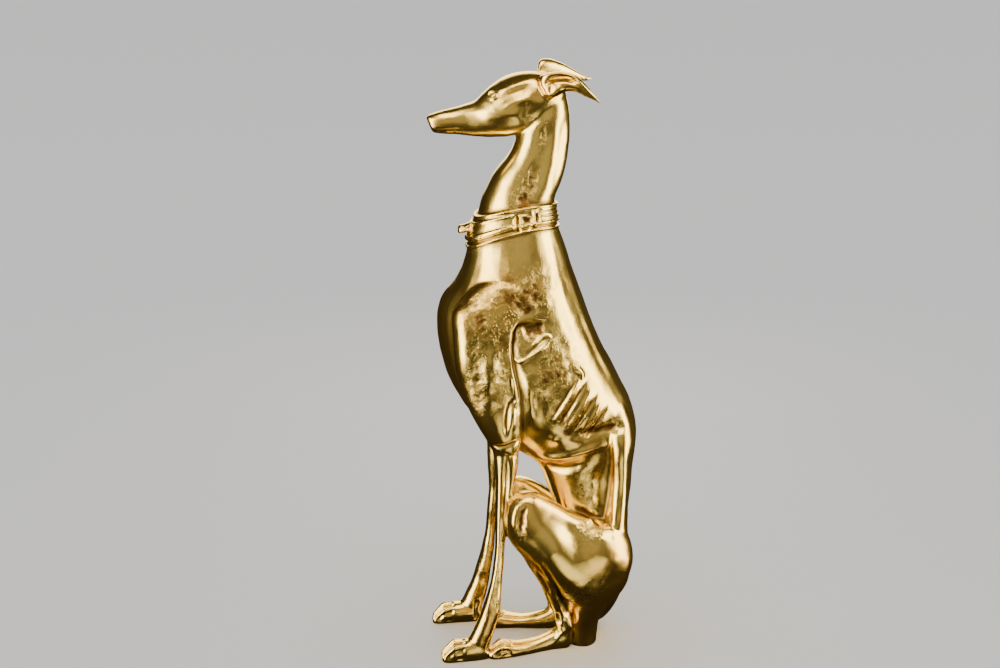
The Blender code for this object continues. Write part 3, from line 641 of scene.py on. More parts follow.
@dataclass
class HindLegs(Legs):
    """Loins, haunches, shanks and hind feet."""

    thigh: tuple[Section, ...] = (
        (-3.6, 22.4, -4.1, 20.0, 5.5, 0.9),
        (-2.4, 23.5, -4.0, 18.4, 5.5, 1.7),
        (-0.4, 23.7, -3.2, 16.4, 5.45, 2.3),
        (2.2, 22.4, -1.6, 14.4, 5.35, 2.8),
        (4.8, 20.6, 0.6, 12.2, 5.2, 3.2),
        (7.4, 19.3, 2.6, 9.8, 5.0, 3.45),
        (10.2, 18.6, 4.6, 7.6, 4.8, 3.45),
        (12.6, 17.0, 6.9, 6.3, 4.6, 3.1),
        (13.6, 13.6, 9.2, 6.1, 4.4, 2.5),
        (13.1, 10.0, 11.2, 7.4, 4.2, 1.2),
    )
    shank: tuple[Section, ...] = (
        (-3.4, 19.6, 1.6, 21.0, 5.5, 1.4),
        (-3.1, 16.9, 2.0, 18.6, 5.5, 1.9),
        (-1.6, 14.2, 2.6, 15.9, 5.3, 1.85),
        (-0.2, 11.8, 3.4, 13.2, 5.05, 1.7),
        (1.0, 9.6, 4.2, 10.4, 4.75, 1.5),
        (1.9, 7.4, 4.7, 7.8, 4.45, 1.25),
        (2.6, 5.4, 5.0, 5.6, 4.15, 1.1),
        (3.0, 3.4, 5.4, 3.6, 3.95, 1.15),
        (3.4, 1.6, 5.5, 1.6, 3.85, 1.1),
    )
    paw: tuple[Section, ...] = (
        (5.5, 2.4, 5.4, 0.4, 3.75, 0.7),
        (4.6, 3.6, 4.7, -0.4, 3.8, 1.1),
        (2.6, 2.6, 2.8, -0.4, 4.0, 1.2),
        (0.2, 1.9, 0.4, -0.4, 4.55, 1.3),
        (-2.2, 1.85, -2.0, -0.4, 5.15, 1.5),
        (-4.0, 2.2, -3.8, -0.4, 5.5, 1.6),
        (-5.4, 1.9, -5.2, -0.4, 5.75, 1.5),
        (-6.3, 1.1, -6.2, -0.2, 5.95, 1.05),
    )
    loin: tuple[Section, ...] = (
        (8.6, 37.4, 10.8, 37.8, 2.2, 0.6),
        (9.0, 34.0, 12.4, 34.6, 2.7, 1.4),
        (9.6, 30.2, 13.5, 30.6, 3.1, 2.3),
        (10.1, 26.4, 13.3, 26.6, 3.1, 2.3),
        (10.2, 22.2, 13.0, 22.2, 3.2, 2.2),
        (9.4, 18.0, 12.9, 17.8, 3.6, 2.4),
        (8.2, 14.0, 12.8, 13.6, 4.0, 2.6),
    )
    right_knee_drop: float = 2.0
    right_knee_in: float = 0.8
    right_hock_in: float = 1.2
    right_toes_in: float = 2.0
    carving: tuple[Stroke, ...] = (
        Stroke(0.5, 0.22, ((-1.3, 23.2), (-2.6, 22.0), (-3.1, 20.2), (-2.5, 18.0))),
        Stroke(0.4, -0.14, ((-1.2, 22.6), (-2.0, 20.9), (-2.0, 18.6))),
        Stroke(2.4, 0.55, ((-0.6, 18.4), (1.4, 15.6), (3.4, 13.0), (5.6, 10.2), (7.8, 8.6))),
        Stroke(2.0, -0.4, ((-0.6, 22.6), (2.4, 20.4), (5.6, 18.0), (8.4, 16.4))),
        Stroke(1.4, -0.2, ((3.6, 20.0), (5.0, 17.4), (6.2, 14.6))),
        Stroke(2.2, 0.4, ((9.9, 14.6),)),
        Stroke(0.4, -0.5, ((0.6, 14.8), (1.8, 12.4), (3.0, 9.8), (4.1, 6.8), (4.8, 4.6))),
        Stroke(0.22, -0.25, ((-0.1, 13.0), (1.2, 10.7), (2.1, 8.8))),
        # lumps where the thigh meets the loin, and the loin's front edge
        Stroke(0.5, -0.4, ((5.2, 20.9), (7.4, 19.5), (9.0, 18.6))),
        Stroke(0.38, 0.35, ((6.1, 18.9),)),
        Stroke(0.42, 0.4, ((7.4, 19.2),)),
        Stroke(0.36, 0.3, ((8.5, 17.6),)),
        Stroke(0.5, -0.22, ((10.5, 29.6), (10.7, 26.6), (10.7, 22.6), (10.4, 17.6)),
               profile=Profile.STEP),
        Stroke(0.8, 0.22, ((11.6, 31.2), (11.9, 27.0), (11.9, 22.0), (11.4, 17.6))),
        # hock
        Stroke(0.24, 0.2, ((2.1, 2.6), (2.9, 3.6), (4.0, 2.9), (3.5, 2.2), (2.7, 1.2))),
        Stroke(0.3, -0.3, ((3.2, 5.8), (3.5, 3.9))),
        Stroke(0.4, 0.3, ((4.6, 5.0), (5.2, 2.6))),
    )
    patches: tuple[Patch, ...] = (
        Patch((-2.1, 20.6), (0.6, 2.6), 0.0, 1.0),
        Patch((6.4, 9.8), (3.0, 1.6), 20.0, 0.7),
        Patch((7.4, 18.6), (1.6, 0.9), -30.0, 0.8),
    )

    def rows_on(self, side: Side) -> dict[str, tuple[Section, ...]]:
        """The section rows of one hind leg, lower at the knee and farther in on the right.

        Args:
            side: The flank that it is on.

        Returns:
            The rows by the form's name.
        """
        if side is Side.LEFT:
            return {"thigh": self.thigh, "shank": self.shank, "paw": self.paw, "loin": self.loin}
        return {"thigh": shifted(self.thigh, self.right_knee_in, 0.0, self.right_knee_drop),
                "shank": shifted(self.shank, self.right_knee_in, self.right_hock_in),
                "paw": shifted(self.paw, self.right_hock_in, self.right_toes_in),
                "loin": self.loin}


@dataclass
class Tail(Form):
    """The tail, out between the haunches, down and round the right side on the floor."""

    rows: tuple[tuple[float, ...], ...] = (
        (0.0, 12.4, 14.5, 0.9),
        (0.0, 13.0, 11.0, 1.15),
        (-0.2, 12.2, 7.0, 1.15),
        (-0.9, 10.6, 3.4, 1.1),
        (-3.0, 9.7, 1.3, 1.05),
        (-5.6, 8.9, 0.8, 0.95),
        (-7.7, 7.9, 0.7, 0.85),
        (-8.4, 6.7, 0.6, 0.7),
        (-8.4, 5.7, 0.5, 0.45),
    )

    def lay(self, clay: Clay) -> None:
        """Adds the tail to the clay."""
        clay.tube(self.rows)


@dataclass
class Collar(Form):
    """A strap with raised borders, a buckle on the left and a ring's stub in front."""

    stub: tuple[tuple[float, ...], ...] = (
        (0.0, -7.6, 58.8, 0.5), (0.0, -8.8, 58.5, 0.36), (0.0, -9.4, 58.4, 0.42),
    )
    # the strap's middle line is highest near the nape and bows down to the throat
    crest: Spot = (1.2, 60.8)
    bow: float = 0.0278
    half: float = 1.05
    thickness: float = 0.3
    edge: float = 0.14
    # each bead's place above the strap's middle, half width and height
    rims: tuple[tuple[float, float, float], ...] = ((1.08, 0.16, 0.2), (-1.08, 0.16, 0.2))
    cord: tuple[float, float, float] = (-1.85, 0.15, 0.28)
    front_lines: tuple[tuple[float, float, float], ...] = ((0.42, 0.11, 0.16), (-0.82, 0.1, 0.14))
    back_lines: tuple[tuple[float, float, float], ...] = (
        (0.63, 0.1, 0.14), (0.12, 0.1, 0.14), (-0.48, 0.1, 0.14),
    )
    front_end: float = -2.7
    back_start: float = 0.7
    line_fade: float = 12.0  # how sharply the lines end beside the buckle
    edge_fade: float = 3.0  # how sharply the strap ends, over its edge's width
    carving: tuple[Stroke, ...] = (
        Stroke(0.13, 0.2, ((-2.65, 60.25), (-2.65, 59.1)), sides=LEFT_ONLY, tapered=False),
        Stroke(0.16, -0.35, ((-2.33, 60.6), (-2.3, 59.0)), sides=LEFT_ONLY, tapered=False),
        Stroke(0.5, -0.2, ((-1.2, 59.9),), sides=LEFT_ONLY),
        Stroke(0.13, 0.3, ((-2.0, 60.7), (-1.95, 58.95), (-1.1, 59.0), (-0.6, 59.35), (-0.45, 59.9),
                           (-0.65, 60.45), (-1.3, 60.75), (-2.0, 60.7)),
               sides=LEFT_ONLY, tapered=False),
        Stroke(0.15, 0.3, ((-0.3, 61.3), (-0.15, 59.5), (0.45, 59.6), (0.45, 60.6),
                           (0.1, 61.3)), sides=LEFT_ONLY, tapered=False),
        Stroke(0.12, -0.2, ((0.15, 60.9), (0.2, 59.9)), sides=LEFT_ONLY, tapered=False),
    )

    def lay(self, clay: Clay) -> None:
        """Adds the ring's stub to the clay."""
        clay.tube(self.stub)

    def relief(self, spots: np.ndarray) -> np.ndarray:
        """How far the strap, its lines and the thin lower ring stand off the skin.

        Args:
            spots: Places on the skin, in shares.

        Returns:
            A height for each place.
        """
        y, z = spots[:, 1], spots[:, 2]
        from_crest = y - self.crest[0]
        slope = 2 * self.bow * from_crest
        up = (z - self.crest[1] + self.bow * from_crest**2) / np.sqrt(1 + slope**2)
        near_buckle = spots[:, 0] > 0
        in_front = np.where(near_buckle, below(y, self.front_end, self.line_fade), 1.0)
        behind = np.where(near_buckle, below(-y, -self.back_start, self.line_fade), 0.0)
        lift = self.thickness * below(np.abs(up), self.half + self.edge, self.edge_fade / self.edge)
        for beads, weight in (((*self.rims, self.cord), 1.0), (self.front_lines, in_front),
                              (self.back_lines, behind)):
            for place, width, height in beads:
                lift += weight * height * np.exp(-(((up - place) / width) ** 2))
        return lift


@dataclass
class Sculptor:
    """Carves the eased skin. Places are in shares."""

    spots: np.ndarray
    outward: np.ndarray
    tree: BVHTree
    taper: float = 3.5
    blunt: float = 0.08
    route_steps: int = 4
    margin: float = 3.0  # how many of its widths a stroke reaches
    step_face: float = 0.35  # a step's slope and fade, in its widths
    step_fade: float = 2.0
    side_share: float = 1.6  # how soon the rough skin ends where the flank turns away
    tiny: float = 1e-6
    moves: np.ndarray = field(init=False)

    def __post_init__(self) -> None:
        """Starts with nothing moved."""
        self.moves = np.zeros(len(self.spots))

    def carve(self, stroke: Stroke) -> None:
        """Adds one stroke to the moves, on each of its sides.

        Args:
            stroke: The stroke.
        """
        for side in stroke.sides:
            route = self._laid(stroke, side)
            if len(route) == 0:
                log.warning("a stroke at %s misses the skin", stroke.route[0])
                continue
            margin = self.margin * stroke.width
            low, high = route.min(axis=0) - margin, route.max(axis=0) + margin
            near = np.flatnonzero(((self.spots > low) & (self.spots < high)).all(axis=1))
            distance, place, behind = self._nearest(route, self.spots[near])
            ends = np.ones(len(near))
            if stroke.tapered and len(stroke.route) > 1:
                ends = np.clip(np.minimum(place, 1 - place) * self.taper + self.blunt, 0, 1)
            self.moves[near] += stroke.height * ends * self._across(stroke, distance, behind)

    def _across(self, stroke: Stroke, distance: np.ndarray, behind: np.ndarray) -> np.ndarray:
        """A stroke's shape across its route.

        Args:
            stroke: The stroke.
            distance: How far each place is from the route.
            behind: On which side of the route it is, as a sign.

        Returns:
            A share of the stroke's height, from -1 to 1.
        """
        if stroke.profile is Profile.STEP:
            rise = np.tanh(distance * behind / (self.step_face * stroke.width))
            return rise * np.exp(-((distance / (self.step_fade * stroke.width)) ** 2))
        return np.exp(-((distance / stroke.width) ** 2))

    def _laid(self, stroke: Stroke, side: Side) -> np.ndarray:
        """The stroke's route, laid on the skin.

        Args:
            stroke: The stroke.
            side: The flank that a flank route is laid on.

        Returns:
            Places on the skin, in shares.
        """
        points = stroke.route if len(stroke.route) == 1 else eased(stroke.route, self.route_steps)
        found = []
        for a, b in points:
            start, heading = {
                Reach.FLANK: ((side.value * FAR, a, b), (-side.value, 0, 0)),
                Reach.FRONT: ((a, -FAR, b), (0, 1, 0)),
                Reach.BACK: ((a, FAR, b), (0, -1, 0)),
            }[stroke.reach]
            hit = self.tree.ray_cast(Vector(start), Vector(heading))[0]
            if hit is not None and (stroke.reach is not Reach.FLANK or hit.x * side.value > 0):
                found.append(hit)
        return np.array(found)

    def _nearest(self, route: np.ndarray, spots: np.ndarray) -> tuple[np.ndarray, ...]:
        """Where each spot lies from a route.

        Args:
            route: The route's points.
            spots: The places asked for.

        Returns:
            The distance, the place along the route from 0 to 1, and on which side of it.
        """
        if len(route) == 1:
            route = np.vstack([route, route + self.tiny])
        starts, steps = route[:-1], np.diff(route, axis=0)
        lengths = np.maximum((steps**2).sum(axis=1), self.tiny**2)
        from_start = spots[:, None, :] - starts[None]
        share = np.clip((from_start * steps).sum(axis=2) / lengths, 0, 1)
        away = from_start - share[..., None] * steps
        distance = np.sqrt((away**2).sum(axis=2))
        best = distance.argmin(axis=1)
        rows = np.arange(len(spots))
        step, gap = steps[best], away[rows, best]
        behind = np.sign(step[:, 2] * gap[:, 1] - step[:, 1] * gap[:, 2])
        return distance[rows, best], (best + share[rows, best]) / len(starts), behind

    def roughness(self, patches: Sequence[Patch]) -> np.ndarray:
        """How rough the skin is at each spot.

        Args:
            patches: The rough areas of the flanks.

        Returns:
            A value from 0 to 1 for each spot.
        """
        rough = np.zeros(len(self.spots))
        for patch in patches:
            turn = math.radians(patch.turn)
            y = self.spots[:, 1] - patch.middle[0]
            z = self.spots[:, 2] - patch.middle[1]
            along = (y * math.cos(turn) + z * math.sin(turn)) / patch.radii[0]
            across = (z * math.cos(turn) - y * math.sin(turn)) / patch.radii[1]
            rough = np.maximum(rough, patch.strength * np.exp(-(along**2 + across**2)))
        return rough * np.clip(np.abs(self.outward[:, 0]) * self.side_share, 0, 1)

    def ripple(self, wave: float, height: float, weight: np.ndarray | float = 1.0) -> None:
        """Adds an uneven surface to the moves.

        Args:
            wave: The size of its lumps, in shares.
            height: How far it moves the skin at most.
            weight: A share of that for each spot.
        """
        lumps = np.array([noise.noise(Vector(spot)) for spot in self.spots / wave])
        self.moves += height * weight * lumps


def vectors(items: bpy.types.bpy_prop_collection, name: str) -> np.ndarray:
    """One vector of each element of a mesh.

    Args:
        items: The elements.
        name: What is read from them.

    Returns:
        The vectors, one to a row.
    """
    values = np.empty(len(items) * 3, np.float32)
    items.foreach_get(name, values)
    return values.reshape(-1, 3).astype(float)


@dataclass
class Casting:
    """The whole statue: one skin round all the forms."""

    name: str = "greyhound_casting"
    cell: float = 0.0013
    quick_cell: float = 0.0022
    softness: float = 0.0034
    ease_factor: float = 0.5
    triangles: int = 194_000
    # the size and height of the unevenness, on all the skin and in the rough patches
    skin_waves: tuple[Spot, ...] = ((4.6, 0.18), (1.5, 0.035))
    patch_waves: tuple[Spot, ...] = ((0.6, 0.09), (1.5, 0.16))
    fine_above: float = 69.5  # the head's skin is twice as fine
    recess_rounds: int = 14
    recess_depth: float = 0.05
    share: float = field(init=False)
    piece: bpy.types.Object = field(init=False)

    def __post_init__(self) -> None:
        """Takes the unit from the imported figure's height."""
        low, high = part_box(NODE)
        self.share = (high.z - low.z) / TOP

    def build(self, parts: Sequence[Form]) -> bpy.types.Object:
        """Makes the statue from its parts.

        Args:
            parts: The sub-assemblies.

        Returns:
            The finished piece, with its recess and rough attributes.
        """
        clay = Clay()
        for part in parts:
            part.lay(clay)
            log.info("laid out: %s", type(part).__name__)
        bmesh.ops.recalc_face_normals(clay.mesh, faces=clay.mesh.faces)
        bmesh.ops.scale(clay.mesh, verts=clay.mesh.verts, vec=(self.share,) * 3)
        mesh = bpy.data.meshes.new(self.name)
        clay.mesh.to_mesh(mesh)
        clay.mesh.free()
        self.piece = bpy.data.objects.new(self.name, mesh)
        bpy.context.scene.collection.objects.link(self.piece)
        self._fuse()
        self._refine_head()
        self._sculpt(parts)
        self._thin_out()
        self._stand()
        self.piece.data.shade_smooth()
        return self.piece

    def _settle(self) -> None:
        """Works the piece's modifiers into its mesh."""
        graph = bpy.context.evaluated_depsgraph_get()
        done = bpy.data.meshes.new_from_object(self.piece.evaluated_get(graph))
        old = self.piece.data
        self.piece.modifiers.clear()
        self.piece.data = done
        bpy.data.meshes.remove(old)

    def _fuse(self) -> None:
        """One eased skin round all the forms."""
        cell = self.cell
        skin = self.piece.modifiers.new("skin", "REMESH")
        skin.mode = "VOXEL"
        skin.voxel_size = cell
        ease = self.piece.modifiers.new("ease", "SMOOTH")
        ease.factor = self.ease_factor
        ease.iterations = round(2 * (self.softness / cell) ** 2 / self.ease_factor)
        log.info("eased in %d rounds", ease.iterations)
        self._settle()

    def _refine_head(self) -> None:
        """A finer skin over the head."""
        fine = bmesh.new()
        fine.from_mesh(self.piece.data)
        head = [edge for edge in fine.edges
                if min(vert.co.z for vert in edge.verts) > self.fine_above * self.share]
        bmesh.ops.subdivide_edges(fine, edges=head, cuts=1, use_grid_fill=True)
        fine.to_mesh(self.piece.data)
        fine.free()
        log.info("fused: %d vertices", len(self.piece.data.vertices))

    def _sculpt(self, parts: Sequence[Form]) -> None:
        """Carves the skin and notes where it is recessed and rough.

        Args:
            parts: The sub-assemblies.
        """
        mesh = self.piece.data
        spots = vectors(mesh.vertices, "co") / self.share
        outward = vectors(mesh.vertex_normals, "vector")
        solid = bmesh.new()
        solid.from_mesh(mesh)
        bmesh.ops.scale(solid, verts=solid.verts, vec=(1 / self.share,) * 3)
        sculptor = Sculptor(spots, outward, BVHTree.FromBMesh(solid))
        solid.free()
        for part in parts:
            for stroke in part.strokes():
                sculptor.carve(stroke)
            sculptor.moves += part.relief(spots)
        rough = sculptor.roughness([patch for part in parts for patch in part.patches])
        for wave in self.skin_waves:
            sculptor.ripple(*wave)
        for wave in self.patch_waves:
            sculptor.ripple(*wave, rough)
        spots += outward * sculptor.moves[:, None]
        mesh.vertices.foreach_set("co", (spots * self.share).astype(np.float32).ravel())
        mesh.update()
        # the recess value browns the hollows in the finish, partly as patina and partly as painted
        # shade
        self._note("recess", self._recess(mesh, spots))
        self._note("rough", rough)
        log.info("carved")

    def _note(self, name: str, values: np.ndarray) -> None:
        """Keeps a value for each vertex under a name that the finish reads."""
        attribute = self.piece.data.attributes.new(name, "FLOAT", "POINT")
        attribute.data.foreach_set("value", values.astype(np.float32))

    def _recess(self, mesh: bpy.types.Mesh, spots: np.ndarray) -> np.ndarray:
        """How far each vertex lies in a hollow.

        Args:
            mesh: The carved skin.
            spots: Its vertices, in shares.

        Returns:
            From 0 on open ground to 1 in a hollow.
        """
        ends = np.empty(len(mesh.edges) * 2, np.int32)
        mesh.edges.foreach_get("vertices", ends)
        first, second = ends.reshape(-1, 2).T
        count = np.bincount(ends, minlength=len(spots))[:, None]
        smooth = spots.copy()
        for _ in range(self.recess_rounds):
            total = np.column_stack([
                np.bincount(first, smooth[second, axis], len(spots))
                + np.bincount(second, smooth[first, axis], len(spots))
                for axis in range(3)
            ])
            smooth = total / count
        depth = ((smooth - spots) * vectors(mesh.vertex_normals, "vector")).sum(axis=1)
        return np.clip(depth / self.recess_depth, 0, 1)

    def _thin_out(self) -> None:
        """Fewer faces, more where the surface bends."""
        triangles = sum(len(face.vertices) - 2 for face in self.piece.data.polygons)
        thin = self.piece.modifiers.new("thin", "DECIMATE")
        thin.ratio = min(1.0, self.triangles / triangles)
        self._settle()
        log.info("thinned from %d triangles to %d", triangles, len(self.piece.data.polygons))

    def _stand(self) -> None:
        """Flat soles on the floor, with the middle of the base where the model has it."""
        cut = bmesh.new()
        cut.from_mesh(self.piece.data)
        everything = cut.verts[:] + cut.edges[:] + cut.faces[:]
        bmesh.ops.bisect_plane(cut, geom=everything, plane_co=(0, 0, 0), plane_no=(0, 0, 1),
                               clear_inner=True)
        open_edges = [edge for edge in cut.edges if edge.is_boundary]
        bmesh.ops.holes_fill(cut, edges=open_edges, sides=0)
        bmesh.ops.triangulate(cut, faces=cut.faces)
        bmesh.ops.recalc_face_normals(cut, faces=cut.faces)
        corners = np.array([vert.co for vert in cut.verts])
        low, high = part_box(NODE)
        wanted = (low + high) / 2
        found = (corners.min(axis=0) + corners.max(axis=0)) / 2
        shift = (wanted.x - found[0], wanted.y - found[1], low.z)
        bmesh.ops.translate(cut, verts=cut.verts, vec=shift)
        cut.to_mesh(self.piece.data)
        cut.free()
        log.info("stands: moved by %.4f, %.4f m", shift[0], shift[1])


@dataclass(frozen=True)
class Socket:
    """A shader value that Python's operators work on."""

    shader: "Shader"
    link: bpy.types.NodeSocket

    def _maths(self, operation: str, first: Any, second: Any) -> "Socket":
        """One Math node."""
        return self.shader.node("ShaderNodeMath", {"operation": operation}, {0: first, 1: second})

    def __add__(self, other: Any) -> "Socket":
        """Sum."""
        return self._maths("ADD", self, other)

    __radd__ = __add__

    def __sub__(self, other: Any) -> "Socket":
        """Difference."""
        return self._maths("SUBTRACT", self, other)

    def __rsub__(self, other: Any) -> "Socket":
        """Difference, the other way round."""
        return self._maths("SUBTRACT", other, self)

    def __mul__(self, other: Any) -> "Socket":
        """Product."""
        return self._maths("MULTIPLY", self, other)

    __rmul__ = __mul__

    def within(self, low: float, high: float) -> "Socket":
        """The value mapped smoothly from low to high onto 0 to 1."""
        return self.shader.node("ShaderNodeMapRange", {"interpolation_type": "SMOOTHSTEP"},
                                {"Value": self, "From Min": low, "From Max": high})


class Shader:
    """The nodes of a material or of the world, written as expressions."""

    # where a colour Mix node has its factor and two colours, and its result
    mix_inputs: tuple[int, int, int] = (0, 6, 7)
    mix_result: int = 2

    def __init__(self, owner: bpy.types.Material | bpy.types.World) -> None:
        """Takes the owner's own nodes as they come."""
        owner.use_nodes = True
        self.tree = owner.node_tree

    def node(self, kind: str, settings: dict[str, Any], values: dict[int | str, Any],
             output: int | str = 0) -> Socket:
        """Adds one node.

        Args:
            kind: The node's type.
            settings: Its own settings, set first.
            values: What its inputs hold, by name or place: numbers, colours or sockets.
            output: The output that is wanted.

        Returns:
            That output.
        """
        made = self.tree.nodes.new(kind)
        for name, setting in settings.items():
            setattr(made, name, setting)
        for key, value in values.items():
            self.feed(made.inputs[key], value)
        return Socket(self, made.outputs[output])

    def feed(self, target: bpy.types.NodeSocket, value: Any) -> None:
        """Links a socket to an input, or sets a value there.

        Args:
            target: The input.
            value: The socket, number or colour.
        """
        if isinstance(value, Socket):
            self.tree.links.new(value.link, target)
        else:
            target.default_value = value

    def mix(self, first: Any, second: Any, factor: Any) -> Socket:
        """A colour between two colours."""
        values = dict(zip(self.mix_inputs, (factor, first, second)))
        return self.node("ShaderNodeMix", {"data_type": "RGBA"}, values, self.mix_result)

    def noise(self, scale: float, detail: float) -> Socket:
        """A cloud of values round one half, fixed to the piece.

        Args:
            scale: How fine it is.
            detail: How many finer layers it has.

        Returns:
            Its value.
        """
        place = self.node("ShaderNodeTexCoord", {}, {}, "Object")
        return self.node("ShaderNodeTexNoise", {},
                         {"Vector": place, "Scale": scale, "Detail": detail}, "Fac")

    def attribute(self, name: str) -> Socket:
        """A value that the mesh carries."""
        return self.node("ShaderNodeAttribute", {"attribute_name": name}, {}, "Fac")


@dataclass(frozen=True)
class Cloud:
    """An uneven pattern over the metal, from 0 in its gaps to 1 in its middles."""

    scale: float
    detail: float
    low: float
    high: float

    def lay(self, shader: Shader) -> Socket:
        """The pattern's value."""
        return shader.noise(self.scale, self.detail).within(self.low, self.high)


@dataclass(frozen=True)
class GoldFinish:
    """Polished gold-coloured metal, browned in its hollows partly as patina and partly as painted
    shade, and pitted where it stayed rough.
    """

    bright: Colour = (1.0, 0.77, 0.24, 1.0)
    deep: Colour = (0.86, 0.53, 0.13, 1.0)
    # dark brown for patina, pits and rough skin, and for painted shade in the hollows
    brown: Colour = (0.11, 0.055, 0.018, 1.0)
    polish: float = 0.25
    dull: float = 0.46
    tone: Cloud = Cloud(11.0, 3.0, 0.42, 0.66)
    blotch: Cloud = Cloud(55.0, 4.0, 0.45, 0.7)
    pits: Cloud = Cloud(300.0, 4.0, 0.52, 0.66)
    grain: Spot = (520.0, 3.0)  # scale and detail
    bump_depth: float = 0.0006
    # how much deep gold the tone and the blotches add
    deepened: Spot = (0.55, 0.15)
    # brown in hollows (patina and painted shade), in pits, in the rough skin, in its blotches and
    # where tone meets blotch
    stained_and_shaded: tuple[float, ...] = (0.75, 0.5, 0.4, 0.4, 0.25)
    # dullness in hollows, in the rough skin, in its blotches and in all blotches
    dulled: tuple[float, ...] = (0.5, 0.35, 0.5, 0.12)
    # height of the grain, and depth of the pits in the rough skin and elsewhere
    raised: tuple[float, ...] = (0.05, 0.45, 0.03)

    def material(self) -> bpy.types.Material:
        """Builds the metal.

        Returns:
            The material.
        """
        material = bpy.data.materials.new("polished_gold_metal")
        shader = Shader(material)
        surface = shader.tree.nodes["Principled BSDF"].inputs
        recess, rough = shader.attribute("recess"), shader.attribute("rough")
        tone, blotch, pits = (cloud.lay(shader) for cloud in (self.tone, self.blotch, self.pits))
        by_tone, by_blotch = self.deepened
        gold = shader.mix(self.bright, self.deep, tone * by_tone + blotch * by_blotch)
        # painted shade: the brown in the hollows is partly patina and partly stands for shade and dark
        # reflections
        hollow, pit, bare, patchy, mottled = self.stained_and_shaded
        stain_and_shade = (recess * hollow + rough * pits * pit + rough * (blotch * patchy + bare)
                 + tone * blotch * mottled).within(0.0, 1.0)
        shader.feed(surface["Base Color"], shader.mix(gold, self.brown, stain_and_shade))
        hollow, bare, patchy, mottled = self.dulled
        dulled = recess * hollow + rough * (blotch * patchy + bare) + blotch * mottled
        spread = self.dull - self.polish
        shader.feed(surface["Roughness"], dulled.within(0.0, 1.0) * spread + self.polish)
        grain, deep, shallow = self.raised
        height = shader.noise(*self.grain) * grain - pits * (rough * deep + shallow)
        bump = shader.node("ShaderNodeBump", {}, {"Height": height, "Distance": self.bump_depth,
                                                  "Strength": 1.0}, "Normal")
        shader.feed(surface["Normal"], bump)
        surface["Metallic"].default_value = 1.0
        return material


@dataclass(frozen=True)
class Softbox:
    """A rectangle of soft light, aimed at the figure and seen only in its metal."""

    name: str
    place: tuple[float, float, float]
    size: tuple[float, float]
    power: float
    aim: tuple[float, float, float] = (0.0, 0.0, 0.42)
    colour: tuple[float, float, float] = (1.0, 0.86, 0.54)

    def hang(self) -> bpy.types.Object:
        """Puts the light in the scene.

        Returns:
            The light.
        """
        lamp = bpy.data.lights.new(self.name, "AREA")
        lamp.shape = "RECTANGLE"
        lamp.size, lamp.size_y = self.size
        lamp.energy = self.power
        lamp.color = self.colour
        light = bpy.data.objects.new(self.name, lamp)
        towards = Vector(self.aim) - Vector(self.place)
        turned = towards.to_track_quat("-Z", "Y").to_matrix().to_4x4()
        light.matrix_world = Matrix.Translation(self.place) @ turned
        light.visible_camera = False
        light.visible_diffuse = False
        bpy.context.scene.collection.objects.link(light)
        return light


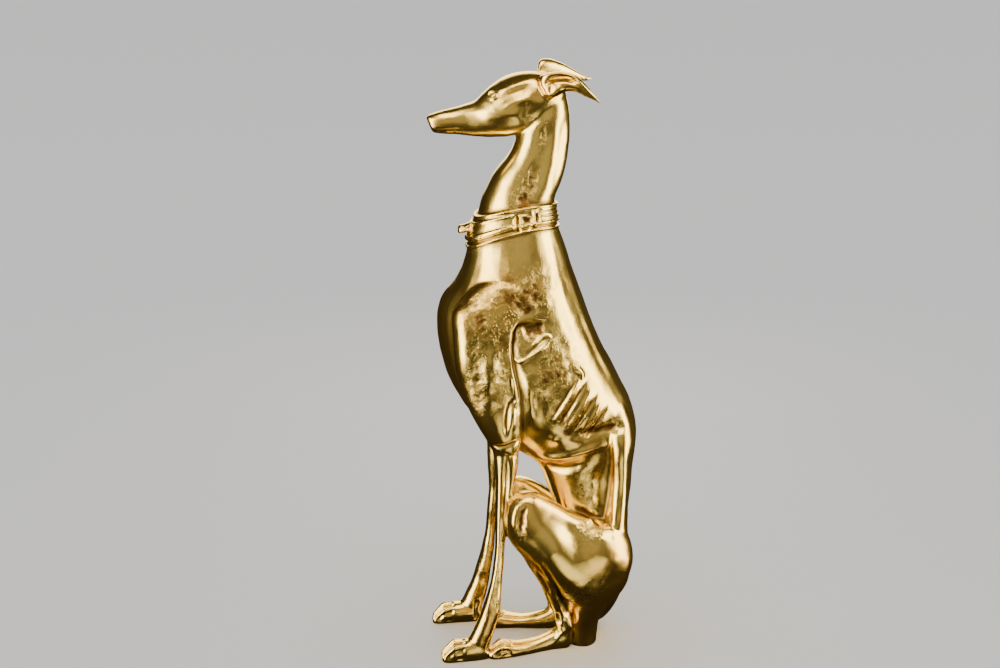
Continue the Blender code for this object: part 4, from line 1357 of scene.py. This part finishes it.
@dataclass(frozen=True)
class Studio:
    """Pale floor, soft light and the photograph's view."""

    floor_radius: float = 30.0
    floor_sides: int = 96
    floor_colour: Colour = (0.84, 0.835, 0.82, 1.0)
    floor_roughness: float = 0.7
    daylight: Colour = (1.0, 1.0, 1.01, 1.0)
    reflected: Colour = (0.022, 0.015, 0.008, 1.0)  # what the metal sees beside the softboxes
    eye: tuple[float, float, float] = (2.0045, -0.2744, 1.0)
    heading: float = math.radians(6.5)
    pitch: float = math.radians(15.498)
    lens: float = 56.686
    sensor: float = 36.0
    softboxes: tuple[Softbox, ...] = (
        Softbox("front_strip", (1.05, -1.35, 0.55), (1.1, 2.2), 72.0),
        Softbox("rear_strip", (0.65, 1.45, 0.6), (0.9, 2.2), 58.0),
        Softbox("overhead", (1.3, 0.1, 2.2), (1.8, 1.2), 48.0),
        Softbox("far_side", (-1.5, 0.2, 1.2), (1.4, 1.6), 34.0),
        Softbox("camera_side", (2.8, 0.2, 0.7), (1.8, 1.4), 3.2),
        Softbox("low_card", (0.6, 0.18, -0.1), (0.36, 0.26), 0.6, (0.05, 0.05, 0.15)),
    )

    def floor(self) -> bpy.types.Object:
        """Lays the floor.

        Returns:
            The floor, which is no part of the statue.
        """
        disc = bmesh.new()
        bmesh.ops.create_circle(disc, cap_ends=True, segments=self.floor_sides,
                                radius=self.floor_radius)
        mesh = bpy.data.meshes.new("floor")
        disc.to_mesh(mesh)
        disc.free()
        floor = bpy.data.objects.new("floor", mesh)
        bpy.context.scene.collection.objects.link(floor)
        material = bpy.data.materials.new("pale_floor")
        surface = Shader(material).tree.nodes["Principled BSDF"].inputs
        surface["Base Color"].default_value = self.floor_colour
        surface["Roughness"].default_value = self.floor_roughness
        mesh.materials.append(material)
        floor.visible_glossy = False
        return floor

    def light(self) -> None:
        """Hangs the softboxes, and sets surroundings that are bright for all but the metal."""
        for softbox in self.softboxes:
            softbox.hang()
        world = bpy.data.worlds.new("studio")
        shader = Shader(world)
        in_gloss = shader.node("ShaderNodeLightPath", {}, {}, "Is Glossy Ray")
        shader.feed(shader.tree.nodes["Background"].inputs["Color"],
                    shader.mix(self.daylight, self.reflected, in_gloss))
        bpy.context.scene.world = world

    def camera(self) -> bpy.types.Object:
        """Sets up the camera at the photograph's viewing angle.

        Returns:
            The camera.
        """
        view = bpy.data.cameras.new("view")
        view.lens = self.lens
        view.sensor_width = self.sensor
        camera = bpy.data.objects.new("view", view)
        right = Vector((math.sin(self.heading), math.cos(self.heading), 0.0))
        level = Vector((-math.cos(self.heading), math.sin(self.heading), 0.0))
        forward = level * math.cos(self.pitch) - Vector((0, 0, math.sin(self.pitch)))
        turned = Matrix((right, right.cross(forward), -forward)).transposed().to_4x4()
        camera.matrix_world = Matrix.Translation(self.eye) @ turned
        bpy.context.scene.collection.objects.link(camera)
        bpy.context.scene.camera = camera
        return camera


def main() -> None:
    """Builds the statue, dresses it and sets up the studio."""
    logging.basicConfig(level=logging.INFO, format="%(name)s: %(message)s")
    studio = Studio()
    studio.camera()
    studio.floor()
    studio.light()
    parts = [Torso(), Neck(), Head(), Ears(), Forelegs(), HindLegs(), Tail(), Collar()]
    piece = Casting().build(parts)
    piece.data.materials.clear()
    piece.data.materials.append(GoldFinish().material())
    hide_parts(NODE)
    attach(piece, "root")
    log.info("%s: %d triangles", piece.name, len(piece.data.polygons))


if __name__ == "__main__":
    main()
